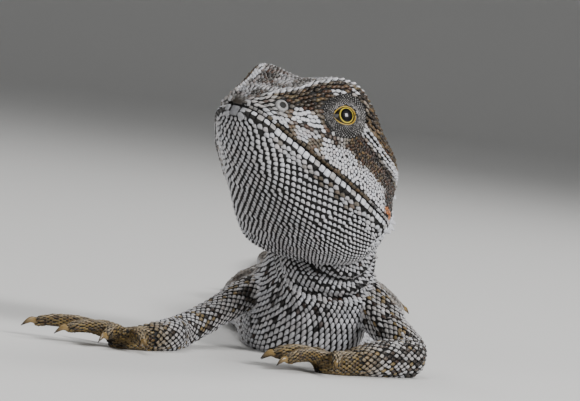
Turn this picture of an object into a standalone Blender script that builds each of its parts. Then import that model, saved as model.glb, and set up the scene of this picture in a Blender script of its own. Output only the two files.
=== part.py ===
"""A life-size Rankin's dragon that rests on a floor with its chest and head raised.

The animal faces -Y, its left side is +X, and the floor is z = 0. The origin is on the floor, under the
belly. Sizes are in millimetres, and make_mesh turns them into metres.
"""

import math
import random

import bmesh
import bpy
from mathutils import Matrix, Vector

MM = 0.001

# Driving dimensions.
HEAD_LENGTH = 30.0
HEAD_WIDTH = 27.0
TRUNK_LENGTH = 80.0
TRUNK_WIDTH = 29.0
TRUNK_DEPTH = 13.4
TAIL_LENGTH = 142.0
ARM_RADIUS = 2.5
THIGH_RADIUS = 3.3
DIGIT_RADIUS = 0.95
CLAW_LENGTH = 1.9
EYE_RADIUS = 2.55
FRINGE_SPINE_LENGTH = 2.3
BACK_SPINE_LENGTH = 1.1
GAP = 0.3

# Where the head is, and how it is turned.
SNOUT_TIP = Vector((-6.3, -73.5, 36.4))
HEAD_YAW = math.radians(24.3)
HEAD_PITCH = math.radians(26.5)
HEAD_ROLL = math.radians(-3.3)

RING_SIDES = 28
TAIL_SIDES = 16
LIMB_SIDES = 12
DIGIT_SIDES = 6
ROUND = 0.88
RIDGED_ABOVE = 1.15
FLAT_UNDER = 0.62


def curve_through(knots, t):
    """A point of the smooth curve through the knots, which are equally long rows of numbers."""
    last = len(knots) - 1
    t = min(max(t, 0.0), last)
    i = min(int(t), last - 1)
    f = t - i
    rows = (knots[max(i - 1, 0)], knots[i], knots[i + 1], knots[min(i + 2, last)])
    return [
        b + 0.5 * f * (c - a + f * (2 * a - 5 * b + 4 * c - d + f * (3 * (b - c) + d - a)))
        for a, b, c, d in zip(*rows)
    ]


def knot_span(first, last, per_knot):
    """Evenly spaced knot numbers from first to last."""
    count = max(2, round((last - first) * per_knot))
    return [first + (last - first) * k / count for k in range(count + 1)]


def cut_span(start, end, first_cut, last_cut):
    """Knot numbers from start to end, each with the knot that its ring faces along."""
    spread = [(t, None) for t in knot_span(start, end, 3)]
    return [(start, first_cut), *spread[1:-1], (end, last_cut)]


def make_mesh(name, points, faces):
    mesh = bpy.data.meshes.new(name)
    mesh.from_pydata([Vector(p) * MM for p in points], [], faces)
    bm = bmesh.new()
    bm.from_mesh(mesh)
    bmesh.ops.triangulate(bm, faces=[f for f in bm.faces if len(f.verts) > 3])
    bmesh.ops.recalc_face_normals(bm, faces=bm.faces)
    bm.to_mesh(mesh)
    bm.free()
    return mesh


def loft_mesh(name, rings, tip=None):
    """Skins rings of equal size. The first end is flat, and the last runs to its tip, if it has one."""
    count = len(rings[0])
    points = [p for ring in rings for p in ring]
    points.append(sum((Vector(p) for p in rings[0]), Vector()) / count)
    points.append(tip if tip is not None else sum((Vector(p) for p in rings[-1]), Vector()) / count)
    last = (len(rings) - 1) * count
    faces = []
    for i in range(count):
        j = (i + 1) % count
        for k in range(0, last, count):
            faces.append((k + i, k + j, k + count + j, k + count + i))
        faces.append((j, i, last + count))
        faces.append((last + i, last + j, last + count + 1))
    return make_mesh(name, points, faces)


def add_object(name, mesh):
    obj = bpy.data.objects.new(name, mesh)
    bpy.context.scene.collection.objects.link(obj)
    return obj


def keep_largest_body(mesh):
    bm = bmesh.new()
    bm.from_mesh(mesh)
    bmesh.ops.remove_doubles(bm, verts=bm.verts, dist=0.002 * MM)
    bmesh.ops.triangulate(bm, faces=bm.faces)
    left = set(bm.faces)
    bodies = []
    while left:
        body, reached = set(), [left.pop()]
        while reached:
            face = reached.pop()
            body.add(face)
            for other in [f for edge in face.edges for f in edge.link_faces if f in left]:
                left.discard(other)
                reached.append(other)
        bodies.append(body)
    largest = max(bodies, key=lambda body: sum(f.calc_area() for f in body))
    bmesh.ops.delete(bm, geom=[f for f in bm.faces if f not in largest], context="FACES")
    bm.to_mesh(mesh)
    bm.free()


def combine(obj, others, operation):
    """Joins the other meshes to the object, or cuts or keeps what they share with it."""
    helpers = bpy.data.collections.new("helpers")
    for mesh in others:
        helpers.objects.link(bpy.data.objects.new("helper", mesh))
    boolean = obj.modifiers.new("combine", "BOOLEAN")
    boolean.operation = operation
    boolean.operand_type = "COLLECTION"
    boolean.collection = helpers
    graph = bpy.context.evaluated_depsgraph_get()
    result = bpy.data.meshes.new_from_object(obj.evaluated_get(graph))
    obj.modifiers.remove(boolean)
    obj.data = result
    for helper in list(helpers.objects):
        bpy.data.objects.remove(helper)
    bpy.data.collections.remove(helpers)
    keep_largest_body(result)


def above_floor(point):
    return Vector((point[0], point[1], max(point[2], 0.0)))


def oval(centre, left, up, half_width, above, below, sides, over=ROUND, under=ROUND):
    """A ring whose upper and lower halves have their own heights. Nothing reaches under the floor."""
    ring = []
    for i in range(sides):
        x, z = oval_offset(2 * math.pi * i / sides, half_width, above, below, over, under)
        ring.append(above_floor(centre + x * left + z * up))
    return ring


def oval_offset(angle, half_width, above, below, over, under):
    """A point of the oval. Its halves are squarer where the over or under number is smaller."""
    c, s = math.cos(angle), math.sin(angle)
    height, power = (above, over) if s > 0 else (below, under)
    return half_width * math.copysign(abs(c) ** power, c), height * math.copysign(abs(s) ** power, s)


def cone(root, direction, length, radius, sink, sides=5):
    """A straight tapered spine whose base is sunk below its root."""
    direction = direction.normalized()
    side = direction.orthogonal().normalized()
    other = direction.cross(side)
    ring = []
    for i in range(sides):
        angle = 2 * math.pi * i / sides
        ring.append(root - sink * direction + radius * (math.cos(angle) * side + math.sin(angle) * other))
    faces = [(i, (i + 1) % sides, sides) for i in range(sides)] + [tuple(range(sides))]
    return make_mesh("spine", ring + [root + length * direction], faces)


def ball(centre, radii, axes, segments=16, rings=10):
    """An ellipsoid with its radii along the given axes."""
    bm = bmesh.new()
    bmesh.ops.create_uvsphere(bm, u_segments=segments, v_segments=rings, radius=1.0)
    for v in bm.verts:
        v.co = (centre + sum((v.co[k] * radii[k] * axes[k] for k in range(3)), Vector())) * MM
    bmesh.ops.triangulate(bm, faces=bm.faces)
    bmesh.ops.recalc_face_normals(bm, faces=bm.faces)
    mesh = bpy.data.meshes.new("ball")
    bm.to_mesh(mesh)
    bm.free()
    return mesh


def post(start, end, half_a, half_b, axis_a, axis_b, sides=16):
    """A straight oval post between two points."""
    rings = []
    for centre in (start, end):
        angles = [2 * math.pi * i / sides for i in range(sides)]
        rings.append([centre + half_a * math.cos(a) * axis_a + half_b * math.sin(a) * axis_b for a in angles])
    return loft_mesh("post", rings)


# The head's own axes: s runs back from the snout tip, then left and up from the mouth's level.
def head_axes():
    turn = Matrix.Rotation(-HEAD_YAW, 3, "Z")
    forward = turn @ Vector((0, -math.cos(HEAD_PITCH), math.sin(HEAD_PITCH)))
    left = Matrix.Rotation(HEAD_ROLL, 3, forward) @ (turn @ Vector((1, 0, 0)))
    return forward, left, forward.cross(left)


HEAD_FORWARD, HEAD_LEFT, HEAD_UP = head_axes()


def head_point(s, left, up):
    return SNOUT_TIP - s * HEAD_FORWARD + left * HEAD_LEFT + up * HEAD_UP


# Body axis, from the head to the tail tip: centre x y z, half width, height above and depth below.
TRUNK_START_Y = -36.5
TAIL_START_Y = TRUNK_START_Y + TRUNK_LENGTH
HALF_TRUNK = TRUNK_WIDTH / 2
HALF_DEPTH = TRUNK_DEPTH / 2
TRUNK_KNOTS = [
    (5.2, -46.4, 21.7, 6.7, 7.8, 7.3),
    (3.2, -41.4, 16.8, 7.1, 6.6, 11.2),
    (1.1, TRUNK_START_Y, 11.0, 8.5, 5.8, 14.6),
    (-0.2, -29.5, 7.6, 10.2, 6.2, 11.0),
    (-1.7, -19.0, 5.8, 0.78 * HALF_TRUNK, 6.4, 7.2),
    (-3.2, -6.0, 4.9, 0.97 * HALF_TRUNK, 0.48 * TRUNK_DEPTH, 6.0),
    (-5.6, 8.0, 4.8, HALF_TRUNK, 0.5 * TRUNK_DEPTH, 5.8),
    (-8.2, 22.0, 4.8, 0.84 * HALF_TRUNK, 0.48 * TRUNK_DEPTH, 5.8),
    (-10.8, 34.0, 4.8, 0.58 * HALF_TRUNK, 5.9, 5.8),
    (-12.6, TAIL_START_Y, 4.8, 6.0, 5.0, 5.4),
]
TAIL_GIRTH = [(5.6, 4.3), (4.3, 3.5), (3.3, 2.8), (2.4, 2.1), (1.6, 1.4), (0.8, 0.7)]
TAIL_HEADING = math.radians(13.0)
TAIL_SWAY = 2.5


def tail_knots():
    """The tail lies on the floor and drifts to the animal's right in a slight S."""
    step = TAIL_LENGTH / len(TAIL_GIRTH)
    knots = []
    for k, (half_width, half_height) in enumerate(TAIL_GIRTH, start=1):
        sway = TAIL_SWAY * math.sin(2 * math.pi * k / len(TAIL_GIRTH))
        x = TRUNK_KNOTS[-1][0] - step * k * math.sin(TAIL_HEADING) + sway
        y = TAIL_START_Y + step * k * math.cos(TAIL_HEADING)
        knots.append((x, y, 0.96 * half_height, half_width, half_height, half_height))
    return knots


BODY_KNOTS = TRUNK_KNOTS + tail_knots()
BODY_END = len(BODY_KNOTS) - 1
BODY_LENGTHS = [
    ("neck", 0, 1), ("chest", 1, 4), ("belly", 4, 7), ("hips", 7, 9),
    ("tail_base", 9, 11), ("tail_middle", 11, 13), ("tail_end", 13, BODY_END),
]


def path_frame(knots, t, facing=None):
    """Centre, forward, left and up of a path at knot number t, with the forward axis towards its start.

    A ring at a cut takes its directions from the knot at the cut, so that both faces there are parallel.
    """
    turn = t if facing is None else facing
    here = Vector(curve_through(knots, t)[:3])
    ahead = Vector(curve_through(knots, turn - 0.05)[:3])
    behind = Vector(curve_through(knots, turn + 0.05)[:3])
    forward = (ahead - behind).normalized()
    left = forward.cross(Vector((0, 0, -1))).normalized()
    return here, forward, left, forward.cross(left)


def body_frame(t, facing=None):
    """The body's own frame. It turns into the head's frame at the head."""
    here, forward, left, up = path_frame(BODY_KNOTS, t, facing)
    turn = t if facing is None else facing
    if turn < 1:
        forward = HEAD_FORWARD.lerp(forward, turn).normalized()
        left = HEAD_LEFT.lerp(left, turn).normalized()
        up = forward.cross(left).normalized()
    return here, left, up, curve_through(BODY_KNOTS, t)[3:]


def body_ring(t, sides, swell=0.0, facing=None):
    centre, left, up, sizes = body_frame(t, facing)
    return oval(centre, left, up, *(size + swell for size in sizes), sides, RIDGED_ABOVE, FLAT_UNDER)


def body_surface(t, angle):
    """A point on the body and its outward direction. The angle is 0 at the left side, 90 on the back."""
    centre, left, up, (half_width, above, below) = body_frame(t)
    turn = math.radians(angle)
    x, z = oval_offset(turn, half_width, above, below, RIDGED_ABOVE, FLAT_UNDER)
    height = above if angle > 0 else below
    outward = math.cos(turn) / half_width * left + math.sin(turn) / height * up
    return centre + x * left + z * up, outward.normalized()


def share_of_knot(knots, t, distance):
    """How much t changes over a distance along the path."""
    step = Vector(curve_through(knots, t + 0.05)[:3]) - Vector(curve_through(knots, t - 0.05)[:3])
    return distance * 0.1 / step.length


def body_length(name, first, last):
    """One length of the body, half a gap short of each neighbour."""
    sides = RING_SIDES if last <= 9 else TAIL_SIDES
    start = first + share_of_knot(BODY_KNOTS, first, GAP / 2)
    end = last - share_of_knot(BODY_KNOTS, last, GAP / 2)
    tip = None
    if first == 0:
        start = share_of_knot(BODY_KNOTS, 0.1, 1.5 * GAP)
    if last == BODY_END:
        centre, forward, _, _ = path_frame(BODY_KNOTS, last)
        tip = centre - 2 * forward
        tip.z = 0.3
    spread = cut_span(start, end, first, last)
    rings = [body_ring(t, sides, facing=facing) for t, facing in spread]
    return add_object(name, loft_mesh(name, rings, tip))


def trunk_cutter():
    """The whole trunk, one gap thicker all round, which cuts the roots of the legs."""
    return loft_mesh("cutter", [body_ring(t, RING_SIDES, GAP) for t in knot_span(0.0, 10.5, 3)])


# Head outline, a rail for each line along it: stations s, then half width and height at each.
HEAD_STATIONS = [0.1, 0.7, 2.2, 5.0, 9.0, 13.0, 17.5, 22.0, 26.0, 29.5, 33.0]
CROWN = [0.9, 1.9, 3.7, 6.1, 9.4, 11.0, 11.3, 10.8, 10.2, 9.2, 7.8]
RIDGE = [
    (0.6, 0.8), (1.5, 1.7), (2.9, 3.3), (4.3, 5.9), (6.6, 10.3), (7.9, 11.8),
    (8.2, 11.1), (8.3, 9.6), (8.4, 8.6), (7.4, 7.7), (5.6, 6.2),
]
TEMPLE = [
    (1.0, 0.5), (2.2, 0.9), (3.9, 1.9), (5.4, 3.2), (7.5, 5.5), (8.7, 6.6),
    (9.7, 6.0), (10.7, 4.8), (11.2, 3.8), (9.8, 3.0), (7.3, 2.3),
]
LIP = [
    (1.1, -0.1), (2.5, -0.1), (4.1, -0.2), (5.8, -0.5), (8.2, -0.8), (9.9, -1.0),
    (11.7, -1.3), (13.1, -1.7), (13.2, -2.0), (11.0, -2.0), (7.6, -1.0),
]
JAW_SIDE = [
    (0.9, -0.7), (2.2, -1.1), (3.8, -1.8), (5.0, -2.6), (6.5, -3.2), (7.8, -3.9),
    (9.3, -4.6), (10.8, -5.2), (11.7, -5.6), (10.6, -5.4), (7.0, -4.0),
]
JAW_UNDER = [
    (0.5, -1.0), (1.2, -1.8), (2.3, -3.0), (3.1, -4.4), (4.0, -5.6), (5.0, -6.7),
    (6.3, -7.8), (7.6, -8.6), (8.4, -9.0), (7.2, -8.4), (4.5, -6.3),
]
THROAT = [-1.1, -2.0, -3.3, -5.0, -6.5, -7.8, -8.9, -9.7, -10.0, -9.2, -7.0]
RAILS = [[(0.0, z) for z in CROWN], RIDGE, TEMPLE, LIP, JAW_SIDE, JAW_UNDER, [(0.0, z) for z in THROAT]]
EYE_PLACE = (13.4, 6.55, 6.35)
EYELID_RADII = (4.2, 3.2, 3.5)
EYELID_OPENING = (1.95, 1.5)
NOSTRIL_PLACE = (3.4, 4.5, 2.3)
NOSTRIL_RADIUS = 0.5
EAR_PLACE = (26.6, 12.2, 1.6)
EAR_RADII = (1.6, 1.4, 2.0)


def head_section(t):
    """The head's outline at station number t, as control points of half width and height."""
    widen = HEAD_WIDTH / 27.0
    half = [curve_through(rail, t) for rail in RAILS]
    loop = half + [(-y, z) for y, z in half[-2:0:-1]]
    return head_station(t), [(y * widen, z) for y, z in loop]


def head_station(t):
    return curve_through([(s,) for s in HEAD_STATIONS], t)[0] * HEAD_LENGTH / 30.0


def on_head(t, place):
    """A head surface point at station number t. The place is 0 at the crown, 3 at the lip, 6 below."""
    s, loop = head_section(t)
    i = math.floor(place)
    around = [loop[(i + k) % len(loop)] for k in (-1, 0, 1, 2)]
    y, z = curve_through(around, 1 + place - i)
    return head_point(s, y, z)


def head_shell():
    stations = knot_span(0, len(HEAD_STATIONS) - 1, 2)
    places = [k / 3 for k in range(36)]
    rings = [[on_head(t, place) for place in places] for t in stations]
    return loft_mesh("head", rings)


def mouth_block(side):
    """All that lies above the mouth line (side 1) or below it (side -1), half a gap clear of it."""
    line = [(-4.0, LIP[0][1]), *((head_station(k), LIP[k][1]) for k in range(1, 8)), (40.0, LIP[7][1])]
    profile = [(s, z + side * GAP / 2) for s, z in line]
    profile += [(40.0, side * 25.0), (-4.0, side * 25.0)]
    return loft_mesh("block", [[head_point(s, y, z) for s, z in profile] for y in (-20.0, 20.0)])


def eye_axes(side):
    """Back, out and up of an eye, which looks forward of the side and slightly up."""
    out = (side * HEAD_LEFT + 0.6 * HEAD_FORWARD + 0.14 * HEAD_UP).normalized()
    back = HEAD_UP.cross(out).normalized()
    return back, out, out.cross(back).normalized()


def head_cuts():
    """The eye sockets with their lid openings, the nostrils and the ear cups."""
    cuts = []
    for side in (-1, 1):
        s, y, z = EYE_PLACE
        centre = head_point(s, side * y, z)
        back, out, up = eye_axes(side)
        cuts.append(ball(centre, [EYE_RADIUS + GAP] * 3, (back, out, up)))
        cuts.append(post(centre, centre + 8 * out, *EYELID_OPENING, back, up))
        s, y, z = NOSTRIL_PLACE
        nostril = head_point(s, side * y, z)
        radii = (NOSTRIL_RADIUS, 1.0, 0.8 * NOSTRIL_RADIUS)
        cuts.append(ball(nostril, radii, (back, out, up), 8, 6))
        s, y, z = EAR_PLACE
        cuts.append(ball(head_point(s, side * y, z), EAR_RADII, (HEAD_FORWARD, HEAD_LEFT, HEAD_UP), 12, 8))
    return cuts


def eyelids():
    lids = []
    for side in (-1, 1):
        s, y, z = EYE_PLACE
        back, out, up = eye_axes(side)
        lids.append(ball(head_point(s, side * y, z), EYELID_RADII, (back, out, up), 18, 12))
    return lids


def eyes():
    for name, side in (("eye_left", 1), ("eye_right", -1)):
        s, y, z = EYE_PLACE
        back, out, up = eye_axes(side)
        add_object(name, ball(head_point(s, side * y, z), [EYE_RADIUS] * 3, (back, up, out), 14, 9))


def head_spine(t, place, length, radius, lean=0.5):
    """A spine on the head that leans back. Spines with a place past 6 are on the right side."""
    root = on_head(t, place)
    middle = head_point(head_station(t), 0, 0)
    direction = (root - middle).normalized() - lean * HEAD_FORWARD
    return cone(root, direction, length, radius, 0.6)


def mirrored(place):
    return place, 12 - place


def crown_spines():
    """Spines around the rear of each ear, and low spiny scales over the temples, brows and crown."""
    spines = []
    for k in range(4):
        for place in mirrored(2.3 + 0.25 * k):
            spines.append(head_spine(8.8 + 0.1 * (k % 2), place, 1.3, 0.42, 1.0))
    for k in range(5):
        for place in mirrored(1.3 + 0.1 * k):
            spines.append(head_spine(6.4 + 0.5 * k, place, 0.5, 0.42, 0.8))
    for t in (4.6, 5.7, 6.8, 7.9):
        for place in (0.0, *mirrored(0.45)):
            spines.append(head_spine(t, place, 0.45, 0.5))
    return spines


def jaw_spines():
    """Spines along the rear edge of the jaw, under the ears and across the throat's rim."""
    spines = []
    for k in range(5):
        for place in mirrored(3.25 + 0.3 * k):
            spines.append(head_spine(8.85 - 0.05 * k, place, 1.9 - 0.22 * k, 0.45, 1.1))
    for k in range(4):
        for place in mirrored(3.6):
            spines.append(head_spine(6.4 + 0.65 * k, place, 0.3 + 0.2 * k, 0.4, 1.2))
    return spines


def body_spine(t, angle, length, radius, lean=0.6, sides=5):
    """A spine on the body that leans towards the tail."""
    root, outward = body_surface(t, angle)
    forward = path_frame(BODY_KNOTS, t)[1]
    return cone(root, outward - lean * forward, length, radius, 0.55, sides)


def body_spines(first, last):
    """The side fringe, the spiny scales of the back and the tail's side spines, within one length."""
    rng = random.Random(41)
    spines = []
    for k in range(25):
        t = 2.9 + 0.187 * k
        length = FRINGE_SPINE_LENGTH * (0.75 + 0.25 * math.sin(math.pi * k / 24)) * rng.uniform(0.85, 1.1)
        for angle in (-6, 186):
            if first + 0.08 < t < last - 0.12:
                spines.append(body_spine(t, angle, length, 0.5, 0.8))
    for row in range(15):
        t = 2.2 + 0.47 * row
        for k in range(6):
            angle = 90 + (18 if t < 7.2 else 11) * (k - 2.5) + rng.uniform(-5, 5)
            here = t + rng.uniform(-0.06, 0.06) + 0.2 * (k % 2)
            if first + 0.1 < here < last - 0.12:
                spines.append(body_spine(here, angle, BACK_SPINE_LENGTH * rng.uniform(0.7, 1.1), 0.6))
    for k in range(26):
        t = 9.1 + 0.2 * k
        size = 1.5 * (1 - k / 34)
        for angle in (8, 172, 60, 120):
            if first + 0.08 < t < last - 0.1:
                spines.append(body_spine(t, angle, size * (1 if angle in (8, 172) else 0.6), 0.3 * size, 1.2))
    return spines


def nape_spines():
    """Two rows of spines across the neck, with a larger group at each side."""
    spines = []
    for t, length in ((0.52, 1.5), (0.82, 1.2)):
        for k in range(10):
            angle = -12 + 22.7 * k
            spines.append(body_spine(t, angle, length, 0.42, 0.7))
    return spines


def limb_piece(name, knots, first, last, root_cut=None):
    """A stretch of a limb between two knots. A piece that grows from the trunk is cut clear of it."""
    start = first + (share_of_knot(knots, first, GAP / 2) if first else 0)
    end = last - share_of_knot(knots, last, GAP / 2)
    rings = []
    for t, facing in cut_span(start, end, first, last):
        centre, _, left, up = path_frame(knots, t, facing)
        half_width, half_height = curve_through(knots, t)[3:]
        rings.append(oval(centre, left, up, half_width, half_height, half_height, LIMB_SIDES))
    obj = add_object(name, loft_mesh(name, rings))
    if root_cut:
        combine(obj, [root_cut], "DIFFERENCE")
    return obj


def digit_mesh(base, tip, radius, arch):
    """A digit that rises from the palm, arches and comes down to its tip."""
    knuckle = base.lerp(tip, 0.45) + Vector((0, 0, arch))
    knots = [
        (*base, radius * 1.15), (*knuckle, radius * 1.05),
        (*(base.lerp(tip, 0.8) + Vector((0, 0, 0.7 * arch))), radius * 0.95), (*tip, radius * 0.72),
    ]
    rings = []
    for t in knot_span(0, 3, 1.4):
        centre, _, left, up = path_frame(knots, t)
        size = curve_through(knots, t)[3]
        rings.append(oval(centre, left, up, size, size, size, DIGIT_SIDES))
    return loft_mesh("digit", rings)


def claw_mesh(base, tip, radius):
    """A curved, tapered claw at the end of a digit, whose point bends down to the floor."""
    along = (tip - base).normalized()
    end = tip + CLAW_LENGTH * along
    end.z = max(0.1, end.z - 0.45 * CLAW_LENGTH)
    knots = [
        (*(tip - 0.7 * along), radius * 0.5), (*(tip + 0.35 * along), radius * 0.5),
        (*(tip.lerp(end, 0.65) + Vector((0, 0, 0.2))), radius * 0.3),
    ]
    rings = []
    for t in knot_span(0, 2, 1):
        centre, _, left, up = path_frame(knots, t)
        size = curve_through(knots, t)[3]
        rings.append(oval(centre, left, up, size, 1.2 * size, 1.2 * size, 5))
    return loft_mesh("claw", rings, end)


def paw(name, limb, palm, width, tips, arch=0.9, radius=DIGIT_RADIUS):
    """A palm or sole that starts square to the limb's end, with its five digits and their claws."""
    wrist, forward, left, up = path_frame(limb, len(limb) - 1)
    start = wrist - GAP * forward
    along = (palm - wrist).normalized()
    knots = [
        (*start, 0.72 * width, 1.5), (*start.lerp(palm, 0.5), width, 1.5),
        (*palm, 0.9 * width, 1.3), (*(palm + 1.0 * along), 0.5 * width, 1.0),
    ]
    rings = [oval(start, left, up, 0.72 * width, 1.5, 3.0, LIMB_SIDES)]
    for t in knot_span(0.6, 3, 1.3):
        centre, _, left, up = path_frame(knots, t)
        half_width, half_height = curve_through(knots, t)[3:]
        rings.append(oval(centre, left, up, half_width, half_height, 2 * half_height, LIMB_SIDES))
    obj = add_object(name, loft_mesh(name, rings))
    middle = wrist.lerp(palm, 0.62)
    parts = []
    for tip in tips:
        tip = Vector(tip)
        base = middle + (tip - middle).normalized() * 0.5 * width
        parts.append(digit_mesh(base, tip, radius, arch))
        parts.append(claw_mesh(base, tip, radius))
    combine(obj, parts, "UNION")
    return obj


def limb_spines(knots, first, last, count, angle, length):
    """A row of short spines along one side of a limb."""
    spines = []
    for k in range(count):
        t = first + (last - first) * (k + 0.5) / count
        centre, forward, left, up = path_frame(knots, t)
        half_width, half_height = curve_through(knots, t)[3:]
        turn = math.radians(angle)
        out = math.cos(turn) * left + math.sin(turn) * up
        root = centre + half_width * math.cos(turn) * left + half_height * math.sin(turn) * up
        spines.append(cone(root, out - 0.8 * forward, length, 0.45, 0.5))
    return spines


# Limb paths: centre x y z, half width, half height, from inside the trunk to the wrist or the ankle.
A = ARM_RADIUS
LEFT_ARM = [
    (2.5, -38.0, 12.0, 1.2 * A, 1.2 * A), (8.0, -41.0, 10.9, 1.15 * A, 1.15 * A),
    (14.4, -45.4, 6.6, A, A), (19.0, -49.4, 2.9, 0.95 * A, 1.05 * A),
    (16.2, -55.6, 2.5, 0.95 * A, 1.05 * A), (12.6, -60.8, 1.9, 0.75 * A, 0.7 * A),
]
RIGHT_ARM = [
    (-1.5, -37.0, 9.6, 0.9 * A, 0.9 * A), (-6.8, -41.0, 8.4, 0.9 * A, 0.9 * A),
    (-10.8, -48.6, 4.8, 0.8 * A, 0.8 * A), (-14.0, -56.4, 2.1, 0.86 * A, 0.88 * A),
    (-14.0, -63.2, 2.1, 0.85 * A, 0.88 * A), (-15.9, -68.6, 1.8, 0.7 * A, 0.68 * A),
]
H = THIGH_RADIUS
LEFT_LEG = [
    (-12.4, 37.5, 4.8, 1.1 * H, H), (-7.4, 37.4, 4.4, 1.1 * H, H), (-3.6, 39.6, 3.7, H, 0.95 * H),
    (-1.2, 44.6, 3.1, 0.85 * H, 0.87 * H), (-1.8, 51.0, 2.6, 0.72 * H, 0.75 * H),
    (-3.4, 57.4, 1.9, 0.54 * H, 0.54 * H),
]
RIGHT_LEG = [
    (-10.4, 37.5, 4.8, 1.1 * H, H), (-16.2, 37.4, 4.4, 1.1 * H, H), (-20.4, 39.6, 3.7, H, 0.95 * H),
    (-23.2, 44.6, 3.1, 0.85 * H, 0.87 * H), (-24.6, 51.4, 2.6, 0.72 * H, 0.75 * H),
    (-25.6, 58.4, 1.9, 0.54 * H, 0.54 * H),
]
LEFT_HAND = [(11.4, -68.4, 1.8), (4.8, -70.6, 1.6), (2.3, -67.6, 2.0), (1.9, -64.0, 1.5), (5.6, -60.4, 1.4)]
RIGHT_HAND = [
    (-14.9, -75.6, 1.6), (-20.1, -76.4, 1.8), (-25.9, -75.5, 2.0), (-31.2, -73.3, 2.2), (-25.4, -66.6, 1.5),
]
LEFT_FOOT = [(-8.6, 67.2, 1.3), (-8.8, 72.0, 1.3), (-7.2, 76.0, 1.3), (-4.4, 78.8, 1.3), (0.6, 67.6, 1.3)]
RIGHT_FOOT = [
    (-24.8, 68.4, 1.3), (-25.4, 73.8, 1.3), (-27.0, 77.8, 1.3), (-29.8, 80.6, 1.3), (-30.8, 69.4, 1.3),
]
LIMBS = [
    (LEFT_ARM, ("upper_arm_left", "forearm_left", "hand_left"), (8.9, -64.0), 2.3, LEFT_HAND),
    (RIGHT_ARM, ("upper_arm_right", "forearm_right", "hand_right"), (-19.6, -71.3), 2.3, RIGHT_HAND),
    (LEFT_LEG, ("thigh_left", "shin_left", "foot_left"), (-4.6, 63.4), 2.1, LEFT_FOOT),
    (RIGHT_LEG, ("thigh_right", "shin_right", "foot_right"), (-26.8, 64.8), 2.1, RIGHT_FOOT),
]


def build_limbs():
    for knots, (upper, lower, end), palm, width, tips in LIMBS:
        piece = limb_piece(upper, knots, 0, 3, trunk_cutter())
        combine(piece, limb_spines(knots, 1.5, 2.6, 3, 90, 0.6), "UNION")
        piece = limb_piece(lower, knots, 3, 5)
        combine(piece, limb_spines(knots, 3.4, 4.6, 4, 70, 0.5), "UNION")
        paw(end, knots, Vector((*palm, 1.4)), width, tips)


def build_body():
    for name, first, last in BODY_LENGTHS:
        piece = body_length(name, first, last)
        spines = nape_spines() if name == "neck" else body_spines(first, last)
        combine(piece, spines, "UNION")


def build_head():
    upper = add_object("head", head_shell())
    combine(upper, [mouth_block(1)], "INTERSECT")
    combine(upper, eyelids() + crown_spines(), "UNION")
    combine(upper, head_cuts(), "DIFFERENCE")
    jaw = add_object("lower_jaw", head_shell())
    combine(jaw, [mouth_block(-1)], "INTERSECT")
    combine(jaw, jaw_spines(), "UNION")
    eyes()


# Base colour and roughness of each node, matched by the start of its name.
FINISHES = {
    "eye": ((0.03, 0.02, 0.01), 0.1),
    "head": ((0.32, 0.27, 0.2), 0.6),
    "lower_jaw": ((0.5, 0.48, 0.45), 0.6),
    "hand": ((0.3, 0.22, 0.12), 0.55),
    "foot": ((0.3, 0.22, 0.12), 0.55),
    "tail": ((0.28, 0.24, 0.18), 0.65),
}
PLAIN_FINISH = ((0.34, 0.31, 0.27), 0.65)


def finish_nodes():
    """Gives each node its material and hangs it from one empty at the origin."""
    root = bpy.data.objects.new("dragon", None)
    bpy.context.scene.collection.objects.link(root)
    for obj in [o for o in bpy.data.objects if o.type == "MESH"]:
        colour, roughness = next((v for k, v in FINISHES.items() if obj.name.startswith(k)), PLAIN_FINISH)
        material = bpy.data.materials.new(obj.name)
        material.use_nodes = True
        shader = material.node_tree.nodes["Principled BSDF"]
        shader.inputs["Base Color"].default_value = (*colour, 1)
        shader.inputs["Roughness"].default_value = roughness
        obj.data.materials.clear()
        obj.data.materials.append(material)
        obj.data.shade_smooth()
        obj.data.set_sharp_from_angle(angle=math.radians(40))
        obj.parent = root


for old in list(bpy.data.objects):
    bpy.data.objects.remove(old)
build_body()
build_head()
build_limbs()
finish_nodes()
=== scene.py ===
import math
import random

import bmesh
import bpy
import numpy as np
from mathutils import Matrix, Vector, noise
from mathutils.bvhtree import BVHTree
from mathutils.kdtree import KDTree


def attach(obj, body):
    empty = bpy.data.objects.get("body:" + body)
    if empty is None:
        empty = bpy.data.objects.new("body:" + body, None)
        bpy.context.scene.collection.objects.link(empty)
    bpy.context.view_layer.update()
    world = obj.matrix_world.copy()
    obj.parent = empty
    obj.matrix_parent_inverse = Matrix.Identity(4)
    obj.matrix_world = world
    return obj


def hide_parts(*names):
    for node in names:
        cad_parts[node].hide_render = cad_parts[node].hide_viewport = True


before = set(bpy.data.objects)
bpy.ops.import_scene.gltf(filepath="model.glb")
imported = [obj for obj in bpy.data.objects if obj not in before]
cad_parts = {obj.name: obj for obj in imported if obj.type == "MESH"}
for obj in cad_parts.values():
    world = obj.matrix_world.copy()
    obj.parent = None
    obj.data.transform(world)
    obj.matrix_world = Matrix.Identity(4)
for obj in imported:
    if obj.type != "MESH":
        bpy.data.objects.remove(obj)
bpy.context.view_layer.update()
mm = 0.001

# Shapes are worked out in millimetres, in the frame of the solids: the animal faces -Y on the floor z = 0.


def curveThrough(knots, t):
    last = len(knots) - 1
    t = min(max(t, 0.0), last)
    i = min(int(t), last - 1)
    f = t - i
    rows = (knots[max(i - 1, 0)], knots[i], knots[i + 1], knots[min(i + 2, last)])
    return [
        b + 0.5 * f * (c - a + f * (2 * a - 5 * b + 4 * c - d + f * (3 * (b - c) + d - a)))
        for a, b, c, d in zip(*rows)
    ]


def pathFrame(knots, t):
    here = Vector(curveThrough(knots, t)[:3])
    ahead = Vector(curveThrough(knots, t - 0.05)[:3])
    behind = Vector(curveThrough(knots, t + 0.05)[:3])
    forward = (ahead - behind).normalized()
    left = forward.cross(Vector((0, 0, -1))).normalized()
    return here, forward, left, forward.cross(left)


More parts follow.
